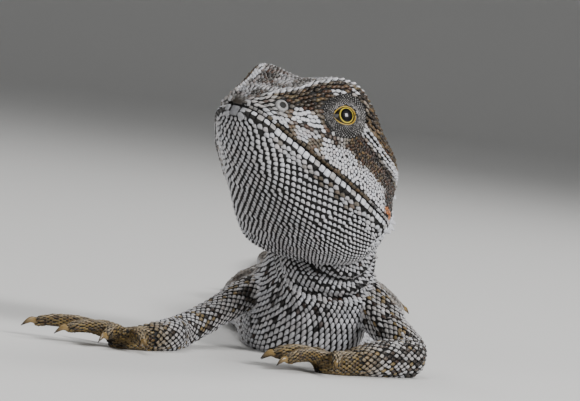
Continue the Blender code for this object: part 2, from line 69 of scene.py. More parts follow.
def ovalOffset(angle, halfWidth, above, below, over=0.88, under=0.88):
    c, s = math.cos(angle), math.sin(angle)
    height, power = (above, over) if s > 0 else (below, under)
    return halfWidth * math.copysign(abs(c) ** power, c), height * math.copysign(abs(s) ** power, s)


def overFloor(point):
    return Vector((point[0], point[1], max(point[2], 0.0)))


headPose = {
    "snoutTip": Vector((-6.3, -73.5, 36.4)),
    "yaw": math.radians(24.3),
    "pitch": math.radians(26.5),
    "roll": math.radians(-3.3),
}


def headAxes():
    turn = Matrix.Rotation(-headPose["yaw"], 3, "Z")
    pitch = headPose["pitch"]
    forward = turn @ Vector((0, -math.cos(pitch), math.sin(pitch)))
    left = Matrix.Rotation(headPose["roll"], 3, forward) @ (turn @ Vector((1, 0, 0)))
    return forward, left, forward.cross(left)


headForward, headLeft, headUp = headAxes()


def headPoint(s, left, up):
    return headPose["snoutTip"] - s * headForward + left * headLeft + up * headUp


# Measures of the trunk and the tail. The tail's girth is its half width and half height, length by length.
body = {
    "halfTrunk": 14.5,
    "trunkDepth": 13.4,
    "tailLength": 142.0,
    "tailHeading": math.radians(13.0),
    "tailSway": 2.5,
    "tailGirth": [(5.6, 4.3), (4.3, 3.5), (3.3, 2.8), (2.4, 2.1), (1.6, 1.4), (0.8, 0.7)],
    "ridgedAbove": 1.15,
    "flatUnder": 0.62,
}


def bodyPath():
    # From the head to the tail tip: centre x y z, half width, height above, depth below.
    w, d = body["halfTrunk"], body["trunkDepth"]
    knots = [
        (5.2, -46.4, 21.7, 6.7, 7.8, 7.3),
        (3.2, -41.4, 16.8, 7.1, 6.6, 11.2),
        (1.1, -36.5, 11.0, 8.5, 5.8, 14.6),
        (-0.2, -29.5, 7.6, 10.2, 6.2, 11.0),
        (-1.7, -19.0, 5.8, 0.78 * w, 6.4, 7.2),
        (-3.2, -6.0, 4.9, 0.97 * w, 0.48 * d, 6.0),
        (-5.6, 8.0, 4.8, w, 0.5 * d, 5.8),
        (-8.2, 22.0, 4.8, 0.84 * w, 0.48 * d, 5.8),
        (-10.8, 34.0, 4.8, 0.58 * w, 5.9, 5.8),
        (-12.6, 43.5, 4.8, 6.0, 5.0, 5.4),
    ]
    startX, startY = knots[-1][:2]
    step = body["tailLength"] / len(body["tailGirth"])
    for k, (halfWidth, halfHeight) in enumerate(body["tailGirth"], start=1):
        sway = body["tailSway"] * math.sin(2 * math.pi * k / len(body["tailGirth"]))
        x = startX - step * k * math.sin(body["tailHeading"]) + sway
        y = startY + step * k * math.cos(body["tailHeading"])
        knots.append((x, y, 0.96 * halfHeight, halfWidth, halfHeight, halfHeight))
    return knots


bodyKnots = bodyPath()
bodyEnd = len(bodyKnots) - 1


def bodyFrame(t):
    here, forward, left, up = pathFrame(bodyKnots, t)
    if t < 1:
        blend = max(t, 0.0)
        forward = headForward.lerp(forward, blend).normalized()
        left = headLeft.lerp(left, blend).normalized()
        up = forward.cross(left).normalized()
    return here, left, up, curveThrough(bodyKnots, t)[3:]


def bodySurface(t, u):
    # u runs once round from the middle of the back, to the left side first.
    centre, left, up, sizes = bodyFrame(t)
    x, z = ovalOffset(math.radians(90 - 360 * u), *sizes, body["ridgedAbove"], body["flatUnder"])
    return overFloor(centre + x * left + z * up)


head = {
    "stations": [0.1, 0.7, 2.2, 5.0, 9.0, 13.0, 17.5, 22.0, 26.0, 29.5, 33.0],
    "crown": [0.9, 1.9, 3.7, 6.1, 9.4, 11.0, 11.3, 10.8, 10.2, 9.2, 7.8],
    "ridge": [
        (0.6, 0.8), (1.5, 1.7), (2.9, 3.3), (4.3, 5.9), (6.6, 10.3), (7.9, 11.8),
        (8.2, 11.1), (8.3, 9.6), (8.4, 8.6), (7.4, 7.7), (5.6, 6.2),
    ],
    "temple": [
        (1.0, 0.5), (2.2, 0.9), (3.9, 1.9), (5.4, 3.2), (7.5, 5.5), (8.7, 6.6),
        (9.7, 6.0), (10.7, 4.8), (11.2, 3.8), (9.8, 3.0), (7.3, 2.3),
    ],
    "lip": [
        (1.1, -0.1), (2.5, -0.1), (4.1, -0.2), (5.8, -0.5), (8.2, -0.8), (9.9, -1.0),
        (11.7, -1.3), (13.1, -1.7), (13.2, -2.0), (11.0, -2.0), (7.6, -1.0),
    ],
    "jawSide": [
        (0.9, -0.7), (2.2, -1.1), (3.8, -1.8), (5.0, -2.6), (6.5, -3.2), (7.8, -3.9),
        (9.3, -4.6), (10.8, -5.2), (11.7, -5.6), (10.6, -5.4), (7.0, -4.0),
    ],
    "jawUnder": [
        (0.5, -1.0), (1.2, -1.8), (2.3, -3.0), (3.1, -4.4), (4.0, -5.6), (5.0, -6.7),
        (6.3, -7.8), (7.6, -8.6), (8.4, -9.0), (7.2, -8.4), (4.5, -6.3),
    ],
    "throat": [-1.1, -2.0, -3.3, -5.0, -6.5, -7.8, -8.9, -9.7, -10.0, -9.2, -7.0],
    "mouthPlace": 3.1,
    "eye": (13.4, 6.8, 6.6),
    "eyeTurn": (0.6, 0.14),
    "eyelidRadii": (4.2, 3.2, 3.5),
    "eyeOpening": (1.72, 1.32),
    "lidTilt": 30,
    "eyeRadius": 2.55,
    "lidDisc": (4.15, 3.1),
    "nostril": (2.5, 1.95),
    "ear": (8.75, 2.35),
}
headRails = [[(0.0, z) for z in head["crown"]]]
headRails += [head[name] for name in ("ridge", "temple", "lip", "jawSide", "jawUnder")]
headRails += [[(0.0, z) for z in head["throat"]]]


def headSection(t):
    half = [curveThrough(rail, t) for rail in headRails]
    return curveThrough([(s,) for s in head["stations"]], t)[0], half + [(-y, z) for y, z in half[-2:0:-1]]


def onSection(section, u):
    s, loop = section
    place = (u * 12) % 12
    i = math.floor(place)
    around = [loop[(i + k) % 12] for k in (-1, 0, 1, 2)]
    y, z = curveThrough(around, 1 + place - i)
    return headPoint(s, y, z)


def headSurface(t, u):
    # u * 12 is the place: 0 at the crown, 3 at the left lip, 6 under the throat, 9 at the right lip.
    return onSection(headSection(t), u)


def headPlace(u):
    # The place counted down either side, from 0 at the crown to 6 under the throat.
    place = (u * 12) % 12
    return min(place, 12 - place)


def sideU(place, side):
    # The u of a place on the left side (1) or the right side (-1).
    return place / 12 if side > 0 else 1 - place / 12


# Limb paths: centre x y z, half width, half height, from inside the trunk to the wrist or the ankle.
limbs = {
    "armLeft": {
        "knots": [
            (2.5, -38.0, 12.0, 3.0, 3.0), (8.0, -41.0, 10.9, 2.9, 2.9), (14.4, -45.4, 6.6, 2.5, 2.5),
            (19.0, -49.4, 2.9, 2.4, 2.6), (16.2, -55.6, 2.5, 2.4, 2.6), (12.6, -60.8, 1.9, 1.9, 1.75),
        ],
        "palm": (8.9, -64.0), "width": 2.3,
        "tips": [
            (11.4, -68.4, 1.8), (4.8, -70.6, 1.6), (2.3, -67.6, 2.0), (1.9, -64.0, 1.5),
            (5.6, -60.4, 1.4),
        ],
    },
    "armRight": {
        "knots": [
            (-1.5, -37.0, 9.6, 2.25, 2.25), (-6.8, -41.0, 8.4, 2.25, 2.25), (-10.8, -48.6, 4.8, 2.0, 2.0),
            (-14.0, -56.4, 2.1, 2.15, 2.2), (-14.0, -63.2, 2.1, 2.1, 2.2), (-15.9, -68.6, 1.8, 1.75, 1.7),
        ],
        "palm": (-19.6, -71.3), "width": 2.3,
        "tips": [
            (-14.9, -75.6, 1.6), (-20.1, -76.4, 1.8), (-25.9, -75.5, 2.0), (-31.2, -73.3, 2.2),
            (-25.4, -66.6, 1.5),
        ],
    },
    "legLeft": {
        "knots": [
            (-12.4, 37.5, 4.8, 3.6, 3.3), (-7.4, 37.4, 4.4, 3.6, 3.3), (-3.6, 39.6, 3.7, 3.3, 3.1),
            (-1.2, 44.6, 3.1, 2.8, 2.85), (-1.8, 51.0, 2.6, 2.4, 2.5), (-3.4, 57.4, 1.9, 1.8, 1.8),
        ],
        "palm": (-4.6, 63.4), "width": 2.1,
        "tips": [
            (-8.6, 67.2, 1.3), (-8.8, 72.0, 1.3), (-7.2, 76.0, 1.3), (-4.4, 78.8, 1.3),
            (0.6, 67.6, 1.3),
        ],
    },
    "legRight": {
        "knots": [
            (-10.4, 37.5, 4.8, 3.6, 3.3), (-16.2, 37.4, 4.4, 3.6, 3.3), (-20.4, 39.6, 3.7, 3.3, 3.1),
            (-23.2, 44.6, 3.1, 2.8, 2.85), (-24.6, 51.4, 2.6, 2.4, 2.5), (-25.6, 58.4, 1.9, 1.8, 1.8),
        ],
        "palm": (-26.8, 64.8), "width": 2.1,
        "tips": [
            (-24.8, 68.4, 1.3), (-25.4, 73.8, 1.3), (-27.0, 77.8, 1.3), (-29.8, 80.6, 1.3),
            (-30.8, 69.4, 1.3),
        ],
    },
}
digits = {"palmHeight": 1.4, "radius": 0.95, "arch": 0.9, "clawLength": 1.9}


def tubeSurface(knots):
    # A limb, palm or digit as a surface of t and u, with rows of x y z, half width, half height, depth below.
    def surface(t, u):
        centre, _, left, up = pathFrame(knots, t)
        sizes = curveThrough(knots, t)[3:]
        x, z = ovalOffset(math.radians(90 - 360 * u), sizes[0], sizes[1], sizes[-1])
        return overFloor(centre + x * left + z * up)

    return surface


def palmKnots(limb):
    wrist, forward, _, _ = pathFrame(limb["knots"], len(limb["knots"]) - 1)
    palm = Vector((*limb["palm"], digits["palmHeight"]))
    width = limb["width"]
    start = wrist + 0.6 * forward
    along = (palm - wrist).normalized()
    return [
        (*start, 0.8 * width, 1.6, 2.2), (*start.lerp(palm, 0.5), width, 1.5, 2.6),
        (*palm, 0.9 * width, 1.3, 2.6), (*(palm + 1.0 * along), 0.5 * width, 1.0, 2.0),
    ]


def digitKnots(limb, tip):
    wrist = pathFrame(limb["knots"], len(limb["knots"]) - 1)[0]
    palm = Vector((*limb["palm"], digits["palmHeight"]))
    middle = wrist.lerp(palm, 0.62)
    tip = Vector(tip)
    base = middle + (tip - middle).normalized() * 0.5 * limb["width"]
    radius, arch = digits["radius"], digits["arch"]
    knuckle = base.lerp(tip, 0.45) + Vector((0, 0, arch))
    bend = base.lerp(tip, 0.8) + Vector((0, 0, 0.7 * arch))
    rows = ((base, 1.15), (knuckle, 1.05), (bend, 0.95), (tip, 0.72))
    return [(*point, radius * size, radius * size, radius * size) for point, size in rows]


def makeMesh(name, points, faces, scale=1.0):
    mesh = bpy.data.meshes.new(name)
    mesh.from_pydata([Vector(p) * scale for p in points], [], faces)
    bm = bmesh.new()
    bm.from_mesh(mesh)
    bmesh.ops.recalc_face_normals(bm, faces=bm.faces)
    bm.to_mesh(mesh)
    bm.free()
    return mesh


def middleOf(points):
    return sum(points, Vector()) / len(points)


def loftRings(rings):
    # Points and faces of a closed skin over rings of equal size, with a fan at each end.
    count = len(rings[0])
    points = [p for ring in rings for p in ring]
    points += [middleOf(rings[0]), middleOf(rings[-1])]
    last = (len(rings) - 1) * count
    faces = []
    for i in range(count):
        j = (i + 1) % count
        for k in range(0, last, count):
            faces.append((k + i, k + j, k + count + j, k + count + i))
        faces.append((j, i, last + count))
        faces.append((last + i, last + j, last + count + 1))
    return points, faces


def loftSurface(surface, first, last, steps, sides):
    spread = [first + (last - first) * k / steps for k in range(steps + 1)]
    return loftRings([[surface(t, i / sides) for i in range(sides)] for t in spread])


def eyeAxes(side):
    forward, up = head["eyeTurn"]
    out = (side * headLeft + forward * headForward + up * headUp).normalized()
    back = headUp.cross(out).normalized()
    return back, out, out.cross(back).normalized()


def lidAxes(side):
    # The opening of the lids leans forwards and down within the plane of the eye.
    back, out, up = eyeAxes(side)
    tilt = side * math.radians(head["lidTilt"])
    return math.cos(tilt) * back + math.sin(tilt) * up, out, math.cos(tilt) * up - math.sin(tilt) * back


def eyeCentre(side):
    s, y, z = head["eye"]
    return headPoint(s, side * y, z)


def ballPoints(centre, radii, axes, segments=32, rings=20):
    bm = bmesh.new()
    bmesh.ops.create_uvsphere(bm, u_segments=segments, v_segments=rings, radius=1.0)
    points = [centre + sum((v.co[k] * radii[k] * axes[k] for k in range(3)), Vector()) for v in bm.verts]
    faces = [tuple(v.index for v in f.verts) for f in bm.faces]
    bm.free()
    return points, faces


def joined(parts):
    # One list of points and one of faces from those of several parts.
    points, faces = [], []
    for more, moreFaces in parts:
        start = len(points)
        points += more
        faces += [tuple(i + start for i in face) for face in moreFaces]
    return points, faces


def addObject(name, mesh):
    obj = bpy.data.objects.new(name, mesh)
    bpy.context.scene.collection.objects.link(obj)
    return obj


def setValues(mesh, name, kind, values):
    field = {"FLOAT": "value", "FLOAT_VECTOR": "vector", "FLOAT_COLOR": "color"}[kind]
    mesh.attributes.new(name, kind, "POINT").data.foreach_set(field, values)


def markValues(rows):
    # Marks as one flat list of colours, each share held between 0 and 1.
    return [v for row in rows for v in (*(min(max(m, 0), 1) for m in row), 1.0)]


# The skin: every length of flesh in one mesh, remeshed to a single surface and smoothed.
skinSizes = {"voxel": 0.44, "smoothing": 6, "inset": 0.14, "bodySides": 56, "bodyRings": 121}


def fleshParts():
    parts = []
    sides, steps = skinSizes["bodySides"], np.linspace(0, bodyEnd, skinSizes["bodyRings"]).tolist()
    rings = [[bodySurface(t, i / sides) for i in range(sides)] for t in steps]
    middle = middleOf(rings[0])
    inside = [middle.lerp(p, 0.8) + 3 * headForward for p in rings[0]]
    parts.append(loftRings([inside, *rings]))
    tip = rings[-1]
    centre = middleOf(tip)
    away = (centre - middleOf(rings[-4])).normalized()
    parts.append(loftRings([tip, [centre.lerp(p, 0.5) + 1.6 * away for p in tip]]))
    parts.append(loftSurface(headSurface, 0, 10, 60, 72))
    for side in (-1, 1):
        back, out, up = eyeAxes(side)
        parts.append(ballPoints(eyeCentre(side), head["eyelidRadii"], (back, out, up)))
    for limb in limbs.values():
        parts.append(loftSurface(tubeSurface(limb["knots"]), 0, 5, 40, 24))
        parts.append(loftSurface(tubeSurface(palmKnots(limb)), 0, 3, 12, 24))
        for tip in limb["tips"]:
            parts.append(loftSurface(tubeSurface(digitKnots(limb, tip)), 0, 3, 12, 14))
    return parts


def remeshed(parts, voxel):
    obj = addObject("flesh", makeMesh("flesh", *joined(parts)))
    grid = obj.modifiers.new("grid", "REMESH")
    grid.mode = "VOXEL"
    grid.voxel_size = voxel
    mesh = bpy.data.meshes.new_from_object(obj.evaluated_get(bpy.context.evaluated_depsgraph_get()))
    bpy.data.objects.remove(obj)
    return mesh


def meshArrays(mesh):
    co = np.empty(len(mesh.vertices) * 3)
    mesh.vertices.foreach_get("co", co)
    edges = np.empty(len(mesh.edges) * 2, dtype=np.int64)
    mesh.edges.foreach_get("vertices", edges)
    return co.reshape(-1, 3), edges.reshape(-1, 2)


def evenOut(co, edges, rounds):
    count = np.bincount(edges.ravel(), minlength=len(co))[:, None].clip(1)
    for k in range(2 * rounds):
        total = np.zeros_like(co)
        np.add.at(total, edges[:, 0], co[edges[:, 1]])
        np.add.at(total, edges[:, 1], co[edges[:, 0]])
        co = co + (total / count - co) * (0.5 if k % 2 == 0 else -0.52)
    return co


def meshNormals(mesh, co):
    mesh.vertices.foreach_set("co", co.ravel())
    mesh.update()
    normals = np.empty(len(co) * 3)
    mesh.vertices.foreach_get("normal", normals)
    return normals.reshape(-1, 3)


folds = {
    "earDip": 1.3, "earReach": (1.7, 2.1), "mouthDip": 0.5, "mouthWidth": 0.3, "mouthEnd": 25.5,
    "lipSwell": 0.22, "lipMiddle": 0.85, "lipWidth": 0.5,
    "neckFold": 0.5, "neckFolds": 5, "neckMiddle": 0.35, "neckSpan": 0.4,
    "lidBlend": 2.1, "pupilDepth": 0.6, "lidGap": 0.15,
}


def earPlace(side):
    t, place = head["ear"]
    return headSurface(t, sideU(place, side))


def sculpt(mesh):
    co, edges = meshArrays(mesh)
    co = evenOut(co, edges, skinSizes["smoothing"])
    normals = meshNormals(mesh, co)
    co -= skinSizes["inset"] * normals
    tip = np.array(headPose["snoutTip"])
    s = -(co - tip) @ np.array(headForward)
    left = (co - tip) @ np.array(headLeft)
    up = (co - tip) @ np.array(headUp)
    # Mouth line between the lips.
    steps = np.linspace(0, 8, 33).tolist()
    line = [headSurface(t, head["mouthPlace"] / 12) - headPose["snoutTip"] for t in steps]
    lineS = [-p.dot(headForward) for p in line]
    lineUp = [p.dot(headUp) for p in line]
    lineLeft = [p.dot(headLeft) for p in line]
    off = up - np.interp(s, lineS, lineUp)
    near = (s > -2) & (s < folds["mouthEnd"]) & (np.abs(left) > 0.6 * np.interp(s, lineS, lineLeft))
    groove = -folds["mouthDip"] * np.exp(-(off / folds["mouthWidth"]) ** 2)
    middle, width = folds["lipMiddle"], folds["lipWidth"]
    swell = np.exp(-((off - middle) / width) ** 2) + np.exp(-((off + middle) / width) ** 2)
    groove += folds["lipSwell"] * swell
    co += (groove * near)[:, None] * normals
    # Folds across the underside of the neck.
    neck = [Vector(curveThrough(bodyKnots, t)[:3]) for t in np.linspace(0.0, 1.6, 9).tolist()]
    start, run = neck[0], neck[-1] - neck[0]
    along = (co - np.array(start)) @ np.array(run) / run.length_squared
    away = np.linalg.norm(co - np.array(start) - along[:, None] * np.array(run), axis=1)
    weight = np.exp(-((along - folds["neckMiddle"]) / folds["neckSpan"]) ** 2)
    weight = weight * (away < 16) * (normals[:, 1] < 0.2)
    wave = np.sin(2 * math.pi * folds["neckFolds"] * along + 0.12 * left)
    co += (folds["neckFold"] * weight * wave * (s > 25))[:, None] * normals
    for side in (-1, 1):
        back, out, upAxis = (np.array(a) for a in lidAxes(side))
        d = co - np.array(eyeCentre(side))
        a, b = head["eyeOpening"]
        reach = np.sqrt((d @ back / a) ** 2 + (d @ upAxis / b) ** 2)
        ball = np.sqrt(np.maximum(head["eyeRadius"] ** 2 - (d @ back) ** 2 - (d @ upAxis) ** 2, 0))
        depth = d @ out
        lid = np.clip((reach - 1) / 1.1, 0, 1) ** 0.6
        rim = (ball + folds["lidGap"]) * (1 - lid) + depth * lid
        wanted = np.where(reach < 1, ball - folds["pupilDepth"], rim)
        shown = (reach < folds["lidBlend"]) & (depth > 0.8)
        co += (np.minimum(wanted - depth, 0) * shown)[:, None] * out
        d = co - np.array(earPlace(side))
        long, high = folds["earReach"]
        reach = np.sqrt((d @ np.array(headForward) / long) ** 2 + (d @ np.array(headUp) / high) ** 2)
        dip = folds["earDip"] * np.clip(1.15 - reach, 0, 0.6) / 0.6 * (np.abs(d @ np.array(headLeft)) < 2.5)
        co -= dip[:, None] * side * np.array(headLeft)
    co[:, 2] = np.maximum(co[:, 2], 0.0)
    meshNormals(mesh, co)
    return co


skinMesh = remeshed(fleshParts(), skinSizes["voxel"])
skinPoints = sculpt(skinMesh)
print("skin", len(skinPoints), "points")
skinTree = BVHTree.FromPolygons(
    [Vector(p) for p in skinPoints], [tuple(f.vertices) for f in skinMesh.polygons]
)


# Markings: each root gets pale, brown and orange shares, from its place on the body alone.
def band(x, low, high, soft):
    rise = min(max((x - low + soft) / (2 * soft), 0), 1)
    fall = min(max((high + soft - x) / (2 * soft), 0), 1)
    return rise * rise * (3 - 2 * rise) * fall * fall * (3 - 2 * fall)


def spot(x, y, cx, cy, rx, ry):
    return band(math.hypot((x - cx) / rx, (y - cy) / ry), -1, 1, 0.25)


def mixTo(values, share, pale, brown, orange=0.0):
    return [a + (b - a) * share for a, b in zip(values, (pale, brown, orange))]


def headMarks(t, u, p):
    # Bands and spots laid over one another. q2 and t2 wander, so that their edges aren't straight.
    q = headPlace(u)
    wander = 0.12 * noise.noise(p * 0.35) + 0.05 * noise.noise(p * 1.1)
    q2, t2 = q + wander, t + 2 * wander
    mottle = noise.noise(p * 0.8)
    blotch = band(noise.noise(p * 0.38) + 0.5 * noise.noise(p * 0.95 + Vector((7, 0, 0))), 0.02, 2, 0.12)
    single = noise.noise(p * 2.3)
    patches = noise.noise(p * 0.45 + Vector((3, 1, 0)))
    stripe = 1.86 - 0.1 * (t - 5.7)
    crown = 0.46 - 0.44 * blotch + 0.2 * mottle + 0.45 * single
    upperLip = 0.8 + 0.2 * band(t2, 4.2, 9, 0.4)
    # The throat is paler on its sides than at the chin, near the lips and along its middle underneath; that
    # darker middle is partly its own grey and partly painted shade.
    throat = 0.74 + 0.26 * band(q, 3.3, 5.3, 0.3) * band(t, 2.6, 9, 0.8) + 0.2 * mottle
    marks = [0.5 + 0.5 * mottle + 0.2 * single, 0.25, 0.0]
    for row in (
        (band(q2, -1, 0.85, 0.15), crown, 0.12 + 0.3 * blotch),
        (band(q2, 1.0, 1.85, 0.1) * band(t2, 2.2, 6.2, 0.3), 0.05 + 0.25 * mottle + 0.4 * single, 0.9),
        (band(q2, 0.8, 1.02, 0.06) * band(t2, 1.8, 5.4, 0.3), 0.95, 0.05),
        (max(spot(t, q, 4.15, 1.42, 0.26, 0.12), spot(t, q, 4.8, 1.28, 0.2, 0.1)), 1.0, 0.05),
        (max(spot(t, q, 5.5, 1.45, 0.25, 0.14), spot(t, q, 5.9, 0.95, 0.2, 0.2)), 0.9, 0.1),
        (band(q2, 1.8, 2.5, 0.06) * band(t2, 2.9, 4.4, 0.15), 0.05, 0.7),
        (band(q2, 1.0, 1.75, 0.1) * band(t2, 5.6, 9.4, 0.3), 0.06 + 0.25 * mottle + 0.4 * single, 0.9),
        (band(q2, 1.95, 2.66, 0.06) * band(t2, 5.2, 9.4, 0.25), 0.02 + 0.1 * mottle + 0.35 * single, 0.95),
        (band(q2, 2.02, 2.16, 0.04) * band(t2, 5.3, 8.2, 0.3), 0.0, 0.2),
        (band(q2, 2.5, 2.66, 0.04) * band(t2, 4.9, 8.2, 0.3), 0.0, 0.3),
        (band(q, stripe - 0.1, stripe + 0.16, 0.04) * band(t2, 5.5, 8.9, 0.15), 1.0, 0.02),
        (band(q2, 2.5, 3.0, 0.04) * band(t2, 1.6, 9.2, 0.2), upperLip, 0.04),
        (band(patches, 0.16, 2, 0.05) * band(q2, 2.1, 3.0, 0.1) * band(t2, 1.0, 4.4, 0.3), 0.2, 0.7),
        (band(q, 1.93 + 0.43 * (t - 3.2), 2.44, 0.03) * band(t, 3.05, 4.35, 0.08), 1.0, 0.0),
        (band(q, 2.45, 2.54, 0.02) * band(t, 3.0, 5.0, 0.1), 0.02, 0.5),
        (band(q, 2.96, 3.12, 0.05) * band(t2, 2.6, 6.4, 0.3), 0.12, 0.85),
        (band(q2, 3.12, 6.1, 0.05), throat, 0.05),
        (band(mottle, 0.2, 2, 0.05) * band(q2, 3.3, 3.75, 0.05) * band(t2, 2.0, 7.0, 0.4), 0.3, 0.6),
        (spot(t, q, 7.9, 2.52, 0.6, 0.26), 0.02, 0.3),
        (spot(t, q, 7.85, 2.84, 0.42, 0.13), 0.3, 0.6, 0.7),
    ):
        marks = mixTo(marks, *row)
    return marks


def bodyMarks(t, u, p):
    side = abs(u - 0.5) * 2  # 1 on the back, 0 under the belly
    stripes = noise.noise(Vector((60 * u, 1.6 * t, 0.3)))
    fleck = noise.noise(p * 0.75)
    single = noise.noise(p * 2.9)
    under = [0.86 - 0.25 * max(stripes, 0) + 0.15 * single, 0.05 + 0.1 * max(stripes, 0), 0.0]
    if single + 0.5 * stripes > 0.42 and t < 5:
        under = [0.02, 0.1, 0.0]
    back = [0.4 + 0.3 * fleck, 0.42, 0.0]
    if t < 9:
        bars = math.sin(2 * math.pi * (t - 0.2) / 0.82 + 1.4 * noise.noise(p * 0.2))
        back = mixTo(back, band(bars, 0.35, 2, 0.3) * band(side, 0.55, 0.97, 0.06), 0.1, 0.5)
        blotch = math.sin(2 * math.pi * (t + 0.2) / 0.82) * band(side, 0.74, 0.88, 0.04)
        back = mixTo(back, band(blotch, 0.45, 2, 0.2), 0.85, 0.1)
    else:
        rings = math.sin(2 * math.pi * (t - 9) / 0.62 + 0.8 * noise.noise(p * 0.15))
        back = mixTo(back, band(rings, 0.1, 2, 0.3), 0.1, 0.5)
    if spot(t, side, 1.3, 0.42, 0.7, 0.22) > 0.3 and single > 0.3:
        under = [0.0, 0.1, 0.0]
    return mixTo(under, band(side + 0.08 * fleck, 0.56, 2, 0.1), *back)


def limbMarks(t, u, p):
    side = abs(u - 0.5) * 2
    fleck = noise.noise(p * 0.55)
    single = noise.noise(p * 3.1)
    far = band(-p.x, 12, 999, 4)
    forearm = band(t, 2.6, 9, 0.5)
    marks = mixTo([0.9, 0.05, 0.0], band(side, 0.3, 2, 0.2), 0.8 + 0.3 * single, 0.1 + 0.12 * (1 - far))
    dark = 0.9 * single + 0.4 * fleck + 0.1 * band(side, 0.35, 2, 0.15)
    dark = dark + 0.2 * forearm * (1 - far) - 0.12 * far
    if dark > 0.36:
        marks = [0.04, 0.5, 0.0]
    elif dark > 0.27:
        marks = [0.5, 0.9, 0.0]
    return mixTo(marks, band(t, 4.5, 9, 0.4), 0.5, 0.8)


def toeMarks(t, u, p):
    side = abs(u - 0.5) * 2
    pale = 0.45 + 0.35 * noise.noise(p * 1.1) + 0.4 * noise.noise(p * 3.3)
    return mixTo([pale - 0.15, 1.0, 0.0], band(side, 0.7, 2, 0.15), pale + 0.12, 0.8)


# Scale roots by layer, in rows round each part. Odd rows sit between the roots of even ones.
coat = {}
# Where each part's unwrap lies in the OFBake map: left, bottom, width, height, and the t at its end.
unwraps = {
    "body": (0.01, 0.01, 0.46, 0.98, 15), "head": (0.5, 0.5, 0.48, 0.48, 10),
    "armLeft": (0.5, 0.01, 0.11, 0.46, 5), "armRight": (0.62, 0.01, 0.11, 0.46, 5),
    "legLeft": (0.74, 0.01, 0.11, 0.46, 5), "legRight": (0.86, 0.01, 0.11, 0.46, 5),
}


def layRoot(layer, group, point, back, size, marks, t, u, tolerance=0.75, lean=0.0):
    # Sets a root on the skin, if the skin is near, with its axes across, back and out.
    spotOnSkin, out, _, away = skinTree.find_nearest(point)
    if spotOnSkin is None or away > tolerance:
        return
    back = back - back.dot(out) * out
    if back.length < 1e-6:
        return
    back.normalize()
    out, back = (out + lean * back).normalized(), (back - lean * out).normalized()
    turn = Matrix((back.cross(out), back, out)).transposed().to_euler()
    x, y, w, h, span = unwraps[group[0]]
    place = (x + w * (u % 1.0), y + h * min(max(t / span, 0), 1))
    coat.setdefault(layer, []).append({
        "point": spotOnSkin, "turn": turn, "size": size, "marks": marks, "place": place, "group": group,
    })


def ringLengths(loop):
    lengths = [0.0]
    for a, b in zip(loop, loop[1:] + loop[:1]):
        lengths.append(lengths[-1] + (b - a).length)
    return lengths


def layRows(layer, part, surface, first, last, width, length, height, marks, keep=None, tolerance=0.75,
            seed=1, fit=0.2, fill=(0.86, 0.92)):
    # Rows round a surface. The count changes only where the scales would grow or shrink past the fit.
    rng = random.Random(seed)
    t, row, count = first, 0, 0
    sides, ahead = 72, 0.04
    while t < last:
        loop = [surface(t, i / sides) for i in range(sides)]
        lengths = ringLengths(loop)
        total = lengths[-1]
        w = width(t) if callable(width) else width
        le = length(t) if callable(length) else length
        if count == 0 or abs(total / count / w - 1) > fit:
            count = max(6, 2 * round(total / (2 * w)))
        i = 0
        nextLoop = [surface(t + ahead, j / sides) for j in range(sides)]
        gaps = [(a - b).length / ahead for a, b in zip(nextLoop, loop)]
        rowStep = le / max(sorted(gaps)[len(gaps) // 2], 1e-6)
        for k in range(count):
            distance = (k + 0.5 * (row % 2) + rng.uniform(0, 0.1)) / count * total
            distance = min(distance, total * 0.9999)
            while lengths[i + 1] < distance:
                i += 1
            f = (distance - lengths[i]) / max(lengths[i + 1] - lengths[i], 1e-9)
            u = (i + f) / sides
            j = (i + 1) % sides
            point = loop[i].lerp(loop[j], f)
            back = nextLoop[i].lerp(nextLoop[j], f) - point
            if keep and not keep(t, u, point):
                continue
            long = max(0.6 * le, min(1.5 * le, rowStep * (gaps[i] + gaps[j]) / 2))
            share = fill(t) if callable(fill) else fill
            size = (
                total / count * share[0] * rng.uniform(0.93, 1.05),
                2 * long * share[1] * rng.uniform(0.94, 1.06),
                height * rng.uniform(0.85, 1.15),
            )
            tone = marks(t, u, point)
            shade = [tone[0] + rng.uniform(-0.13, 0.07), *(v + rng.uniform(-0.05, 0.05) for v in tone[1:])]
            layRoot(layer, (part, seed), point, back, size, shade, t, u, tolerance)
        t += rowStep
        row += 1


def nearEye(point):
    a, b = head["lidDisc"]
    for side in (-1, 1):
        back, out, up = lidAxes(side)
        d = point - eyeCentre(side)
        if d.dot(out) > 0 and math.hypot(d.dot(back) / a, d.dot(up) / b) < 1:
            return True
    return False


def nearHeadSpot(point, spotPlace, radius):
    t, place = spotPlace
    return any((point - headSurface(t, sideU(place, side))).length < radius for side in (1, -1))


def belowMouth(t, q):
    # How far in millimetres a place on the head lies below the mouth line. Above it is less than 0.
    sign = 1 if q > head["mouthPlace"] else -1
    steps = [head["mouthPlace"] + (q - head["mouthPlace"]) * k / 4 for k in range(5)]
    points = [headSurface(t, step / 12) for step in steps]
    return sign * sum((b - a).length for a, b in zip(points, points[1:]))


def keepUpperHead(t, u, point):
    q = headPlace(u)
    if q > 3.1 or nearEye(point) or nearHeadSpot(point, head["nostril"], 1.15):
        return False
    return (q < 2.4 or t > 8.4 or belowMouth(t, q) < -0.3) and not nearHeadSpot(point, head["ear"], 1.5)


def keepJawSide(t, u):
    q = headPlace(u)
    return 3.1 < q < 4.2 and 0.7 < t < 8.8 and 0.95 < belowMouth(t, q) < 2.3


def keepThroat(t, u, point):
    q = headPlace(u)
    return q > 3.1 and t > 0.9 and (q > 4.2 or t > 8.8 or belowMouth(t, q) > 2.0)


scales = {"throatLength": 0.76, "limbWidth": 0.95, "limbLength": 0.68, "toeWidth": 0.62}


def throatWidth(t):
    return 0.74 + 0.22 * band(t, 2.6, 6.6, 1.0) - 0.12 * band(t, 7.2, 30, 0.8)


def throatLength(t):
    return scales["throatLength"] * (1 - 0.24 * band(t, 6.8, 30, 0.9))


